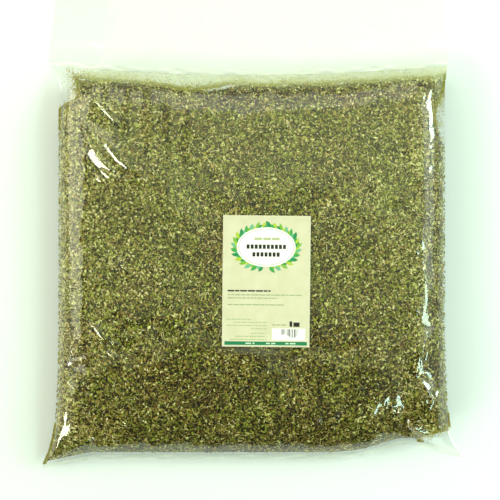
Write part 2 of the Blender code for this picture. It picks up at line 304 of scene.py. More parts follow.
@dataclass(frozen=True)
class LabelPaper(Finish):
    """Coated label paper: pale green, smooth, with the faint cloud of its fibres."""

    name: str = "coated_label_paper"
    light: str = "#DED8C0"
    dark: str = "#D8D2B6"

    def dress(self, tree: Tree, out: Node) -> None:
        """Clouds the paper between two close colours."""
        normal = bump(tree, noise(tree, 0.9), 0.12, 0.05)
        shade = colour_ramp(tree, noise(tree, 14.0, Detail=5.0), ((0.35, self.dark), (0.65, self.light)))
        coat(tree, out, {"Base Color": shade, "Roughness": 0.55, "Normal": normal})


@dataclass(frozen=True)
class PrintingInk(Finish):
    """Printing ink on coated paper: each shape has its own flat colour, with a satin sheen."""

    name: str = "printing_ink"

    def dress(self, tree: Tree, out: Node) -> None:
        """Reads the ink's colour from the mesh, thinned a little by the paper's grain."""
        value = carried(tree, noise(tree, 0.7), (0.0, 1.0), (0.94, 1.05))
        inputs = {"Color": stored(tree, "ink", "Color"), "Value": value}
        shade = add_node(tree, "ShaderNodeHueSaturation", inputs).outputs["Color"]
        coat(tree, out, {"Base Color": shade, "Roughness": 0.45})


@dataclass(frozen=True)
class PaleTable(Finish):
    """Painted white table: matt and even."""

    name: str = "white_matt_paint"
    hex_code: str = "#ECF2F8"

    def dress(self, tree: Tree, out: Node) -> None:
        """One flat colour."""
        coat(tree, out, {"Base Color": colour(self.hex_code), "Roughness": 0.9})


# Meshes


def add_object(name: str, data: bpy.types.ID) -> Piece:
    """Makes an object at the origin and links it to the scene."""
    made = bpy.data.objects.new(name, data)
    bpy.context.scene.collection.objects.link(made)
    return made


def corners(x: Array, y: Array, z: Array) -> Array:
    """Corner positions, one row each, from grids of x, y and z."""
    return np.stack([x, y, z], axis=-1).reshape(-1, 3)


def store(piece: Piece, name: str, values: Array) -> None:
    """Stores a value for each corner of a piece, which its finish reads by this name."""
    made = piece.data.attributes.new(name, "FLOAT", "POINT")
    made.data.foreach_set("value", values.astype(np.float32).ravel())


def turned_by(angle: Array | float, first: Array, second: Array) -> tuple[Array, Array]:
    """Two parts turned in their plane: first cos less second sin, and first sin plus second cos."""
    return first * np.cos(angle) - second * np.sin(angle), first * np.sin(angle) + second * np.cos(angle)


def make_mesh(name: str, points: Array, faces: Array, finish: Finish, smooth: bool = True) -> Piece:
    """Makes an object of faces that all have the same number of corners.

    Args:
        name: the piece's name.
        points: corner positions in millimetres, one row each.
        faces: corner numbers, one row for each face, anticlockwise as seen from outside.
        finish: the piece's finish.
        smooth: whether its faces are shaded smooth.

    Returns:
        The object, at the origin, linked to the scene.
    """
    mesh = bpy.data.meshes.new(name)
    count, corners = faces.shape
    mesh.vertices.add(len(points))
    mesh.vertices.foreach_set("co", (points * MM).astype(np.float32).ravel())
    mesh.loops.add(count * corners)
    mesh.loops.foreach_set("vertex_index", faces.astype(np.int32).ravel())
    mesh.polygons.add(count)
    mesh.polygons.foreach_set("loop_start", np.arange(0, count * corners, corners, dtype=np.int32))
    mesh.update(calc_edges=True)
    mesh.validate()
    mesh.polygons.foreach_set("use_smooth", np.full(len(mesh.polygons), smooth))
    mesh.materials.append(finish.material())
    return add_object(name, mesh)


def grid_faces(rows: int, columns: int, first: int = 0, turned: bool = False) -> Array:
    """Quads of a grid whose corners are numbered row by row.

    Args:
        rows: corners along the first parameter.
        columns: corners along the second parameter.
        first: number of the grid's first corner.
        turned: whether the quads face the other way.

    Returns:
        One row of four corner numbers for each quad.
    """
    numbers = first + np.arange(rows * columns).reshape(rows, columns)
    quads = np.stack([numbers[:-1, :-1], numbers[:-1, 1:], numbers[1:, 1:], numbers[1:, :-1]], axis=-1)
    quads = quads.reshape(-1, 4)
    return quads[:, ::-1] if turned else quads


def shell_faces(rows: int, columns: int) -> Array:
    """Quads of two grids, one over the other, of which the second faces the other way."""
    return np.concatenate([grid_faces(rows, columns), grid_faces(rows, columns, rows * columns, turned=True)])


def merge_doubles(piece: Piece, within: float = 0.005) -> None:
    """Merges corners that lie within this many millimetres of each other."""
    bm = bmesh.new()
    bm.from_mesh(piece.data)
    bmesh.ops.remove_doubles(bm, verts=bm.verts, dist=within * MM)
    bm.to_mesh(piece.data)
    bm.free()


def ease(share: Array | float) -> Array:
    """An S-shaped step from 0 to 1: three squares less two cubes of the share."""
    held = np.clip(share, 0.0, 1.0)
    return held * held * (3.0 - 2.0 * held)


def between(low: Array | float, high: Array | float, share: Array | float) -> Array:
    """The point that lies this share of the way from low to high."""
    return low + (high - low) * share


def bell(place: Array, middle: float, spread: float) -> Array:
    """A bell that is 1 at its middle: the exponential of minus the square of the distance over the spread."""
    return np.exp(-(((place - middle) / spread) ** 2))


def crowded(share: Array, amount: float) -> Array:
    """Shares from 0 to 1 that step more finely near both ends: a line blended with half a cosine."""
    return between(share, (1.0 - np.cos(np.pi * share)) / 2.0, amount)


def weighted(count: int, stretches: Sequence[tuple[float, float, float]]) -> Array:
    """Shares from 0 to 1, finer over some stretches, by the inverse of a running sum of weights.

    Args:
        count: how many shares.
        stretches: start, end and weight of each stretch, where 1 is the weight elsewhere.

    Returns:
        The shares, from 0 to 1.
    """
    fine = np.linspace(0.0, 1.0, 4001)
    weight = np.ones(fine.shape)
    for start, end, amount in stretches:
        weight += (amount - 1.0) * ease((fine - start) / 0.02 + 0.5) * ease((end - fine) / 0.02 + 0.5)
    total = np.cumsum(weight) - weight[0]
    return np.interp(np.linspace(0.0, 1.0, count), total / total[-1], fine)


# The bag's form


@dataclass(frozen=True)
class Waves:
    """Smooth random relief: a sum of sine waves in seeded directions, with lengths spread about a size."""

    seed: int
    size: float
    count: int = 28

    def at(self, x: Array, y: Array) -> Array:
        """Relief at each point, with a root mean square of about 1.

        Args:
            x: positions in millimetres.
            y: positions in millimetres.

        Returns:
            The sum of the waves, each the sine of the distance along its direction over its length.
        """
        draw = np.random.default_rng(self.seed)
        heading = draw.uniform(0.0, 2.0 * np.pi, self.count)
        length = self.size * draw.uniform(0.7, 1.7, self.count)
        start = draw.uniform(0.0, 2.0 * np.pi, self.count)
        total = np.zeros(np.shape(x))
        for turn, reach, phase in zip(heading, length, start, strict=True):
            total += np.sin(2.0 * np.pi * (x * np.cos(turn) + y * np.sin(turn)) / reach + phase)
        return total * np.sqrt(2.0 / self.count)


@dataclass(frozen=True)
class BagForm:
    """Plan and heights of the filled bag, in millimetres.

    Across runs from -1 to 1 and along from the bottom weld. Each ear has its reach and how soon it fades.
    """

    film: float = 0.4
    ply_gap: float = 0.3
    left_fold: float = -225.8
    right_fold: float = 227.5
    bottom: float = -279.0
    top_weld_y: float = 177.7
    top_weld_rise: float = 10.5
    mouth: float = 291.5
    mouth_left: float = -233.0
    mouth_right: float = 231.0
    weld: float = 6.0
    crown: float = 57.0
    shoulder: float = 45.0
    fold_middle: float = 22.0
    weld_height: float = 9.0
    fold_run: float = 95.0
    side_round: float = 40.0
    end_round: float = 62.0
    under_round: float = 30.0
    under_end_round: float = 44.0
    flap_lands: float = 0.45
    lift: float = 0.8
    low_places: tuple[Point, ...] = ((0.0, 60.0), (-110.0, -110.0), (110.0, -110.0))
    low_core: float = 32.0
    low_rim: float = 62.0
    gather: float = 1.6
    gather_length: float = 62.0
    gather_fade: float = 45.0
    ear_bottom_left: Point = (22.0, 34.0)
    ear_top_left: Point = (14.5, 15.0)
    ear_bottom_right: Point = (20.3, 34.0)
    ear_top_right: Point = (6.2, 20.0)
    corner_drop: Point3 = (12.0, 190.0, 58.0)
    weld_tuck: Point3 = (17.0, 185.0, 45.0)
    end_square: float = 1.7
    under_square: float = 1.8
    crown_square: float = 0.8
    folds: tuple[tuple[Point, Point, float, float], ...] = (
        ((-192.0, 116.0), (-119.0, 47.0), 13.0, 4.2),
        ((-214.0, 168.0), (-160.0, 118.0), 9.0, 2.6),
        ((199.0, -118.0), (192.0, -176.0), 10.0, 3.4),
        ((192.0, -176.0), (228.0, -236.0), 11.0, 4.0),
        ((168.0, -246.0), (226.0, -252.0), 9.0, 3.6),
        ((-214.0, -200.0), (-232.0, -268.0), 9.0, 2.4),
        ((-150.0, -150.0), (-190.0, -186.0), 12.0, 1.8),
    )

    @property
    def length(self) -> float:
        """Distance along the pillow from weld to weld."""
        return self.top_weld_y - self.bottom - self.weld

    @staticmethod
    def rounded(distance: Array, radius: float, square: float = 2.0) -> Array:
        """A quarter-round rise from 0 at the edge to 1 at the radius."""
        share = 1.0 - np.clip(distance / radius, 0.0, 1.0)
        return (1.0 - share**square) ** (1.0 / square)

    def side_folds(self, along: Array) -> tuple[Array, Array]:
        """X of the left and the right fold: straight, with an exponential flare to each corner's ear."""
        up = np.maximum(along, 0.0)
        down = np.maximum(self.length - along, 0.0)
        bottom_left, top_left, bottom_right, top_right = (
            reach * np.exp(-distance / fade)
            for distance, (reach, fade) in (
                (up, self.ear_bottom_left),
                (down, self.ear_top_left),
                (up, self.ear_bottom_right),
                (down, self.ear_top_right),
            )
        )
        left = self.left_fold - bottom_left - top_left
        right = self.right_fold + bottom_right + top_right
        share = ease((along - self.length) / (self.mouth - self.top_weld_y))
        return between(left, self.mouth_left, share), between(right, self.mouth_right, share)

    def ends(self, x: Array) -> tuple[Array, Array]:
        """Y of the inner edges of the bottom and the top weld at each x."""
        drop, beyond, run = self.corner_drop
        tuck, middle, spread = self.weld_tuck
        dropped = drop * np.clip((-x - beyond) / run, 0.0, 1.0)
        low = self.bottom - dropped + tuck * bell(x, middle, spread) + self.weld
        high = self.top_weld_y + self.top_weld_rise * (x / self.right_fold) ** 2
        return low, high

    def plan(self, across: Array, along: Array) -> tuple[Array, Array]:
        """X and y of points of the bag."""
        left, right = self.side_folds(along)
        x = between(left, right, (across + 1.0) / 2.0)
        low, high = self.ends(x)
        pillow = between(low, high, along / self.length)
        flap = between(high, self.mouth, (along - self.length) / (self.mouth - self.top_weld_y))
        return x, np.where(along <= 0.0, low + along, np.where(along <= self.length, pillow, flap))

    def unplan(self, x: Array, y: Array) -> tuple[Array, Array]:
        """Across and along of points of the pillow, from their x and y."""
        low, high = self.ends(x)
        along = (y - low) / (high - low) * self.length
        left, right = self.side_folds(along)
        return 2.0 * (x - left) / (right - left) - 1.0, along

    def fold_relief(self, x: Array, y: Array) -> Array:
        """Height of the larger folds: a bell across each and half a sine along it."""
        total = np.zeros(np.shape(x))
        for start, end, half_width, height in self.folds:
            run = np.subtract(end, start)
            dx, dy = x - start[0], y - start[1]
            share = (dx * run[0] + dy * run[1]) / run.dot(run)
            aside = np.hypot(dx - share * run[0], dy - share * run[1]) / half_width
            inside = (share > 0.0) & (share < 1.0)
            total += np.where(inside, height * np.sin(np.pi * share) * np.exp(-aside * aside), 0.0)
        return total

    def heights(self, across: Array, along: Array) -> tuple[Array, Array]:
        """Heights of the lower and the upper ply over the pillow.

        Each rises from the side fold by a quarter round from the sides, times one from the welds, to a crown
        that is a little higher in the middle than at the shoulders.
        """
        x, y = self.plan(across, along)
        left, right = self.side_folds(along)
        aside = np.minimum(x - left, right - x)
        to_weld = np.minimum(along, self.length - along)
        base = between(self.weld_height, self.fold_middle, ease(to_weld / self.fold_run))
        full = self.rounded(aside, self.side_round) * self.rounded(to_weld, self.end_round, self.end_square)
        under_end = self.rounded(to_weld, self.under_end_round, self.under_square)
        under = self.rounded(aside, self.under_round) * under_end
        held = np.clip(along / self.length, 0.0, 1.0)
        middle = (1.0 - across * across) * np.sin(np.pi * held)
        top = between(self.shoulder, self.crown, np.clip(middle, 0.0, 1.0) ** self.crown_square)
        cycle = 2.0 * np.pi * x / self.gather_length
        wave = np.sin(cycle) + 0.6 * np.sin(2.65 * cycle + 1.1)
        gathers = self.gather * wave * np.exp(-to_weld / self.gather_fade)
        relief = (self.fold_relief(x, y) + gathers) * ease(2.0 * full)
        upper = between(base, top, full) + relief + self.ply_gap / 2.0
        nearest = np.min([np.hypot(x - px, y - py) for px, py in self.low_places], axis=0)
        floor = self.film + self.lift * ease((nearest - self.low_core) / (self.low_rim - self.low_core))
        share = 1.0 - (self.film + self.lift) / self.weld_height
        lower = floor + np.maximum(base * (1.0 - under) - self.ply_gap / 2.0, 0.0) * share
        closed = np.abs(across) > INNER
        upper = np.where(closed, base, upper)
        return np.where(closed, base, np.minimum(lower, upper - self.ply_gap)), upper

    def flap_height(self, x: Array, past_weld: Array) -> Array:
        """Height of the flap's lower ply: it falls from the weld to the table in an S and lies there."""
        fall = 1.0 - ease(past_weld / (self.mouth - self.top_weld_y) / self.flap_lands)
        ripple = 0.5 + 0.5 * np.sin(2.0 * np.pi * x / (1.7 * self.gather_length))
        level = between(self.film + self.lift, self.weld_height, fall)
        return level + 2.0 * self.gather * ripple * fall * (1.0 - fall)


@dataclass(frozen=True)
class Crease:
    """One crease of the film: a line through points, with a crest and a straight flank on each side of it.

    Where no height is given, the crest is raised point by point until its lit flank mirrors a lamp to the
    eye.
    """

    points: tuple[Point, ...]
    lit_flank: float = 4.0
    far_flank: float = 4.0
    height: float = 0.0
    crest: tuple[float, ...] = ()
    lit_on_left: bool = False
    end_share: float = 0.06

    def relief(self, x: Array, y: Array) -> Array:
        """Height of the crease at each point.

        Across the line it falls in a straight flank on each side. Along the line the crest and the flanks
        swell and shrink together, as the square root of a sine, so that the slopes stay the same.
        """
        knots = np.array(self.points, dtype=float)
        runs = np.diff(knots, axis=0)
        lengths = np.hypot(runs[:, 0], runs[:, 1])
        stops = np.concatenate([[0.0], np.cumsum(lengths)]) / lengths.sum()
        nearest = np.full(np.shape(x), np.inf)
        share = np.zeros(np.shape(x))
        on_left = np.zeros(np.shape(x), dtype=bool)
        parts = zip(knots[:-1], runs, lengths, stops[:-1], stops[1:], strict=True)
        for start, run, length, low, high in parts:
            dx, dy = x - start[0], y - start[1]
            part = np.clip((dx * run[0] + dy * run[1]) / length**2, 0.0, 1.0)
            distance = np.hypot(dx - part * run[0], dy - part * run[1])
            closer = distance < nearest
            nearest = np.where(closer, distance, nearest)
            share = np.where(closer, between(low, high, part), share)
            on_left = np.where(closer, run[0] * dy - run[1] * dx > 0.0, on_left)
        flank = np.where(on_left == self.lit_on_left, self.lit_flank, self.far_flank)
        crest = np.interp(share, stops, self.crest) if self.crest else self.height
        swell = np.sqrt(np.sin(np.pi * between(self.end_share, 1.0 - self.end_share, share)))
        return crest * np.maximum(swell - nearest / flank, 0.0)


@dataclass(frozen=True)
class FilmCreases:
    """All relief of the upper film beyond the bag's own form: drawn creases, seeded ones, and its slack."""

    form: BagForm
    label_centre: Point
    label_half: Point
    eye: Point3
    lamps: tuple[Point3, ...]
    lean_step: float = 1.5
    least_slope: float = 0.04
    slope_cost: float = 0.25
    label_hold: float = 9.0
    stand_off: float = 1.1
    least_gap: float = 0.3
    weld_fans: int = 40
    small_glints: int = 34
    fan_seed: int = 41
    slack_waves: tuple[tuple[float, int, float], ...] = ((0.50, 3, 74.0), (0.12, 5, 26.0), (0.02, 7, 9.0))
    corner_fans: tuple[tuple[Point, float, int], ...] = (
        ((-236.0, -276.0), 55.0, 7),
        ((232.0, -262.0), 125.0, 10),
        ((-232.0, 176.0), -45.0, 5),
        ((226.0, 178.0), -135.0, 6),
    )
    named: tuple[Crease, ...] = (
        # The long fold at the upper left, and the marks along it
        Crease(((-192, 119), (-171.5, 99.5), (-152, 74), (-140, 64), (-128, 55.5)), 5, 9),
        Crease(((-193, 115), (-188, 99), (-182, 87), (-170, 70), (-158, 60)), 10, 8),
        Crease(((-176, 92), (-168, 79), (-160, 74))),
        Crease(((-172, 62), (-162, 54), (-151, 49.5)), 4.6, 6),
        Crease(((-158, 51.5), (-148, 48.5), (-137, 47.5)), 4.6, 6),
        Crease(((-133, 46), (-125, 48), (-118, 55)), 4, 5),
        Crease(((-177, 55), (-170, 47))),
        # The line above it
        Crease(((-191.5, 148.5), (-174, 138.5), (-162.5, 126), (-151, 111)), 4, 5),
        # The left side, down to the lower left ear
        Crease(((-151, -38), (-144, -52), (-135, -63))),
        Crease(((-185, -112), (-176, -121), (-167, -134))),
        Crease(((-164, -132), (-149, -141.5)), 4, 3.5),
        Crease(((-164, -146), (-153, -155)), 4, 3.5),
        Crease(((-215.7, -161), (-196.2, -157), (-173.3, -149))),
        Crease(((-199, -205), (-188, -197), (-172, -191)), 5, 5),
        Crease(((-212, -210), (-211, -224), (-213, -238))),
        Crease(((-236, -276), (-228, -262), (-219, -248))),
        Crease(((-186, -246), (-180, -256), (-176, -264))),
        # The right side, down to the lower right ear
        Crease(((201, -124), (197, -138))),
        Crease(((193, -134), (191, -146), (190, -159)), 6.5, 5),
        Crease(((198.5, -137), (197, -146), (195.5, -156)), 5, 4),
        Crease(((190, -155), (189, -168), (189.5, -183)), 4.6, 5),
        Crease(((189.5, -182), (195, -194), (201, -208)), 6.5, 5),
        Crease(((194, -180), (201, -191), (208, -203)), 6, 4),
        Crease(((199, -190), (207, -197), (213, -203)), 4, 3),
        Crease(((206, -206), (214, -213), (222, -225))),
        Crease(((191, -200), (196, -187)), 4.5, 4),
        Crease(((197, -208), (203, -194)), 5, 4),
        Crease(((204, -222), (211, -206)), 5, 4),
        Crease(((212, -232), (217, -219)), 4.5, 4),
        Crease(((190, -244), (195, -232)), 4.5, 4),
        Crease(((192, -212), (204, -213), (214, -218))),
        Crease(((203, -147), (203.5, -161)), 4, 5),
        Crease(((207, -199), (214, -210), (217, -221)), 8, 6),
        Crease(((219, -190), (214, -203)), 4, 5),
        Crease(((200, -211), (190, -216), (182, -224)), 5, 6),
        Crease(((182, -232), (193, -240), (206, -246)), 8, 6),
        Crease(((180, -238), (184, -228), (198, -229)), 4, 5),
        Crease(((176, -247), (192, -252), (208, -256)), 4, 5),
        Crease(((208, -232), (216, -244), (222, -252)), 4, 5),
        # Small marks beside the lower right ear
        Crease(((154, -213), (153, -203), (158, -196))),
        Crease(((156, -214), (166, -209), (171, -203))),
        Crease(((163, -216), (168, -226), (175, -234)), 4.5, 5),
        Crease(((167, -196), (167, -204)), 4, 3.4),
        Crease(((172, -212), (171, -222)), 4, 3.4),
        # A straight line along the film, and two glints on it
        Crease(((126.1, 26.9), (126.4, -60), (125.6, -150), (126.1, -262)), 4, 4, 0.3),
        Crease(((126.1, -146), (126.1, -157))),
        Crease(((126.1, -187), (126.1, -198))),
        # The upper left ear
        Crease(((-218, 182), (-212, 162), (-204, 148)), 4, 5),
        Crease(((-226, 168), (-216, 157), (-200, 151)), 4, 5, 1.2),
        Crease(((-206, 140), (-196, 146), (-190, 154)), 4, 5, 1.2),
    )

    @property
    def drawn(self) -> tuple[Crease, ...]:
        """Every crease, those without a height tuned to a lamp over the bag's form and slack."""
        return tuple(c if c.height > 0.0 else self.tuned(c) for c in (*self.named, *self.fans()))

    def tuned(self, crease: Crease) -> Crease:
        """The crease with a crest that makes one flank mirror a lamp to the eye.

        A flank adds a slope square to its line to the lean that the film has there. The lamp is the one that
        leaves the least lean along the line, and needs the least slope.
        """
        knots = np.array(crease.points, dtype=float)
        run = np.gradient(knots, axis=0)
        run /= np.hypot(run[:, 0], run[:, 1])[:, None]
        aside = np.stack([-run[:, 1], run[:, 0]], axis=1)
        best, chosen = math.inf, crease
        for lamp in self.lamps:
            side = 0.0
            for _ in range(2):
                at_flank = knots + side * 0.5 * crease.lit_flank * aside
                missing = self.mirror_lean(knots, lamp) - self.film_lean(at_flank)
                slope = (missing * aside).sum(axis=1)
                side = math.copysign(1.0, slope.mean())
            along = np.abs((missing * run).sum(axis=1)).mean()
            left_over = float(along + self.slope_cost * np.abs(slope).mean())
            if left_over < best:
                best = left_over
                crest = tuple(np.maximum(side * slope, self.least_slope) * crease.lit_flank)
                chosen = replace(crease, crest=crest, lit_on_left=side > 0.0)
        return chosen

    def mirror_lean(self, places: Array, lamp: Point3) -> Array:
        """Lean of a surface that mirrors a lamp to the eye: x and y over z of the two directions' sum."""
        here = np.column_stack([places * MM, np.full(len(places), self.form.shoulder * MM)])
        to_lamp, to_eye = np.array(lamp) - here, np.array(self.eye) - here
        half = sum(way / np.linalg.norm(way, axis=1)[:, None] for way in (to_lamp, to_eye))
        return half[:, :2] / half[:, 2:]

    def film_lean(self, places: Array) -> Array:
        """Lean of the film without its creases: height lost for each millimetre of x and of y."""
        step = self.lean_step
        x, y = places[:, 0], places[:, 1]
        east, west, north, south = (
            self.form.heights(*self.form.unplan(x + dx, y + dy))[1] + self.slack(x + dx, y + dy)
            for dx, dy in ((step, 0.0), (-step, 0.0), (0.0, step), (0.0, -step))
        )
        return np.column_stack([west - east, south - north]) / (2.0 * step)

    def fans(self) -> list[Crease]:
        """Seeded creases that run out from the corners and the welds, and small glints between them."""
        draw = np.random.default_rng(self.fan_seed)
        made = []
        for corner, middle, count in self.corner_fans:
            for _ in range(count):
                heading = math.radians(middle + draw.uniform(-38.0, 38.0))
                near, far = draw.uniform(10.0, 26.0), draw.uniform(34.0, 70.0)
                bend = draw.uniform(-7.0, 7.0)
                ahead = np.array([math.cos(heading), math.sin(heading)])
                aside = np.array([-ahead[1], ahead[0]])
                stops = ((near, 0.0), ((near + far) / 2.0, bend), (far, 0.3 * bend))
                line = tuple(tuple(np.array(corner) + ahead * s + aside * b) for s, b in stops)
                flanks = draw.uniform(5.0, 9.0), draw.uniform(5.0, 9.0)
                made.append(Crease(line, *flanks, draw.uniform(0.3, 1.0)))
        for _ in range(self.weld_fans):
            x = draw.uniform(-205.0, 205.0)
            low, high = (float(v) for v in self.form.ends(np.array(x)))
            at_top = draw.random() < 0.6
            reach, lean = draw.uniform(14.0, 52.0), draw.uniform(-9.0, 9.0)
            start = (x, high - 3.0) if at_top else (x, low + 3.0)
            end = (x + lean, high - reach) if at_top else (x + lean, low + 0.6 * reach)
            flanks = draw.uniform(5.0, 9.0), draw.uniform(5.0, 9.0)
            made.append(Crease((start, end), *flanks, draw.uniform(0.3, 0.8)))
        for _ in range(self.small_glints):
            x, y = draw.uniform(-200.0, 205.0), draw.uniform(-240.0, 130.0)
            heading, reach = draw.uniform(-1.2, -0.2), draw.uniform(2.5, 7.0)
            end = (x + reach * math.cos(heading), y + reach * math.sin(heading))
            made.append(Crease(((x, y), end), 3.0, 3.6))
        return made

    def slack(self, x: Array, y: Array) -> Array:
        """Height of the film's slack: seeded waves of three sizes."""
        return sum(height * Waves(seed, size).at(x, y) for height, seed, size in self.slack_waves)

    def under_label(self, x: Array, y: Array) -> Array:
        """1 away from the label and 0 where it holds the film flat."""
        aside = np.maximum(np.abs(x - self.label_centre[0]) - self.label_half[0], 0.0)
        along = np.maximum(np.abs(y - self.label_centre[1]) - self.label_half[1], 0.0)
        return ease(np.hypot(aside, along) / self.label_hold)

    def relief(self, x: Array, y: Array) -> Array:
        """Height of the film above the bag's own form: its slack and the highest crease at each point."""
        highest = np.zeros(np.shape(x))
        for crease in self.drawn:
            highest = np.maximum(highest, crease.relief(x, y))
        return (self.slack(x, y) + self.stand_off + highest) * self.under_label(x, y) + self.least_gap


@dataclass
class FilmBag:
    """The film: upper and lower ply of the pillow, the two plies of the flap, and the two welds."""

    form: BagForm
    creases: FilmCreases
    powder_cover: float = 0.50
    powder_reach: float = 25.0
    powder_fade: float = 16.0
    powder_from: float = -212.0
    powder_run: float = 30.0
    border_fade: float = 14.0
    lower_drop: float = 0.3
    crowding: float = 0.62
    weld_rows: int = 9
    weld_columns: int = 240
    weld_half: float = 0.1
    weld_rib: float = 0.12
    weld_ribs: float = 4.0
    weld_ripple: float = 0.5
    flap_gap: float = 0.25
    flap_slack: Point = (0.5, 0.16)
    flap_border: float = 12.0
    flap_half: float = 232.0
    rows: int = 312
    columns: int = 312
    lower_rows: int = 100
    lower_columns: int = 100
    flap_rows: int = 52
    flap_columns: int = 110
    finer_across: tuple[Point3, ...] = ((0.0, 0.06, 1.8), (0.06, 0.25, 3.0), (0.82, 1.0, 2.4))
    finer_along: tuple[Point3, ...] = ((0.0, 0.36, 2.3), (0.69, 0.96, 2.5), (0.96, 1.0, 1.8))
    flap_folds: tuple[Crease, ...] = (
        Crease(((28.6, 267.3), (50, 235), (67.9, 205.3)), 8, 9, 1.6),
        Crease(((97.7, 237.5), (84, 220), (70.3, 201.7)), 8, 8, 1.5),
        Crease(((117.9, 257.7), (150, 240), (179.8, 225.6)), 8, 8, 1.3),
        Crease(((-150, 262), (-164, 232), (-172, 204)), 9, 9, 1.2),
        Crease(((-60, 282), (-52, 250), (-58, 214)), 9, 9, 0.9),
        Crease(((190, 278), (196, 240), (210, 206)), 9, 9, 1.1),
    )

    def build(self) -> list[Piece]:
        """Makes every film piece."""
        pieces = [self.upper_ply(), self.lower_ply(), *self.flap(), self.top_weld(), self.bottom_weld()]
        for piece in pieces:
            self.let_light_through(piece)
        return pieces

    @staticmethod
    def let_light_through(piece: Piece) -> None:
        """Clear film this thin throws no shadow that shows, on the table or on the herb."""
        piece.visible_shadow = False
        piece.visible_diffuse = False

    def upper_ply(self) -> Piece:
        """Upper ply: the form's upper height and the creases, faded out at the folds and welds.

        The finest powder of the herb clings to it under the top weld, thinning out in an S.
        """
        across, along = np.meshgrid(
            2.0 * weighted(self.columns, self.finer_across) - 1.0,
            self.form.length * weighted(self.rows, self.finer_along),
        )
        x, y = self.form.plan(across, along)
        z = self.form.heights(across, along)[1]
        left, right = self.form.side_folds(along)
        border = np.minimum(np.minimum(x - left, right - x), np.minimum(along, self.form.length - along))
        z = z + self.creases.relief(x, y) * ease(border / self.border_fade)
        made = make_mesh("film_upper", corners(x, y, z), grid_faces(self.rows, self.columns), ClearFilm())
        down = self.form.length - along
        from_left = ease((x - self.powder_from) / self.powder_run)
        powder = self.powder_cover * ease((self.powder_reach - down) / self.powder_fade) * from_left
        store(made, "powder", powder)
        return made

    def lower_ply(self) -> Piece:
        """Lower ply: the form's lower height, which lies on the table at three low places."""
        across, along = np.meshgrid(
            2.0 * crowded(np.linspace(0.0, 1.0, self.lower_columns), self.crowding) - 1.0,
            self.form.length * crowded(np.linspace(0.0, 1.0, self.lower_rows), self.crowding),
        )
        x, y = self.form.plan(across, along)
        z = self.form.heights(across, along)[0] - self.lower_drop
        edge = np.abs(across) > INNER
        z = np.where(edge, z + self.lower_drop, z)
        faces = grid_faces(self.lower_rows, self.lower_columns, turned=True)
        return make_mesh("film_lower", corners(x, y, z), faces, ClearFilm())

    def flap(self) -> list[Piece]:
        """Both plies of the flap: one lies on the table, the other rides over it on folds and slack."""
        length = self.form.mouth - self.form.top_weld_y
        across, past = np.meshgrid(
            np.linspace(-1.0, 1.0, self.flap_columns), np.linspace(self.form.weld, length, self.flap_rows)
        )
        x, y = self.form.plan(across, self.form.length + past)
        z = self.form.flap_height(x, past)
        border = np.minimum((1.0 - np.abs(across)) * self.flap_half, past - self.form.weld)
        slack = self.flap_slack[0] + self.flap_slack[1] * Waves(11, 70.0).at(x, y)
        for crease in self.flap_folds:
            slack = slack + crease.relief(x, y)
        upper = z + self.flap_gap + np.maximum(slack, 0.0) * ease(border / self.flap_border)
        made = []
        for name, height, turned in (("flap_lower", z, True), ("flap_upper", upper, False)):
            faces = grid_faces(self.flap_rows, self.flap_columns, turned=turned)
            made.append(make_mesh(name, corners(x, y, height), faces, ClearFilm()))
        return made

    def weld_strip(self, name: str, start: float, end: float) -> Piece:
        """A weld: two close faces with fine ribs along them, as the heated jaws leave."""
        rows, columns = self.weld_rows, self.weld_columns
        across, share = np.meshgrid(np.linspace(-1.0, 1.0, columns), np.linspace(0.0, 1.0, rows))
        x, y = self.form.plan(across, between(start, end, share))
        if start < 0.0:
            z = np.full(x.shape, self.form.weld_height)
        else:
            z = self.form.flap_height(x, between(0.0, self.form.weld, share)) + 0.15
        ribs = self.weld_rib * np.sin(2.0 * np.pi * self.weld_ribs * share) * np.sin(np.pi * share)
        ripple = self.weld_ripple * Waves(17, 30.0).at(x, y) * np.sin(np.pi * share)
        upper, lower = (corners(x, y, z + side + ribs + ripple) for side in (self.weld_half, -self.weld_half))
        return make_mesh(name, np.concatenate([upper, lower]), shell_faces(rows, columns), WELDED_FILM)

    def top_weld(self) -> Piece:
        """The weld between the pillow and the flap."""
        return self.weld_strip("top_weld", self.form.length, self.form.length + self.form.weld)

    def bottom_weld(self) -> Piece:
        """The weld at the pillow's lower end."""
        return self.weld_strip("bottom_weld", -self.form.weld, 0.0)


WELDED_FILM = ClearFilm("welded_polythene_film", haze=0.14, haze_spread=0.10, roughness=0.16, ripple_size=4.0)

LEAF_TONES = (
    (0.00, "#1A1604"),
    (0.15, "#36320A"),
    (0.32, "#585C14"),
    (0.50, "#767C1C"),
    (0.66, "#92982E"),
    (0.82, "#B2B24C"),
    (1.00, "#DEDA94"),
)
BROWN_TONES = ((0.00, "#241203"), (0.30, "#5A3A10"), (0.60, "#8E6E2C"), (0.85, "#BCA05C"), (1.00, "#E4D4A0"))
LEAF_SCRAP = (
    np.array([(-0.5, -0.05, -0.5), (0.5, 0.05, -0.5), (0.06, -0.5, 0.5), (-0.06, 0.5, 0.5)]),
    np.array([(0, 1, 2), (1, 0, 3), (2, 3, 0), (3, 2, 1)]),
)
LEAF_FINISH = Crumbs(stops=LEAF_TONES, brown_stops=BROWN_TONES)
STEM_TONES = ((0.00, "#54380F"), (0.35, "#86682A"), (0.70, "#B8A45C"), (1.00, "#E6DCA8"))


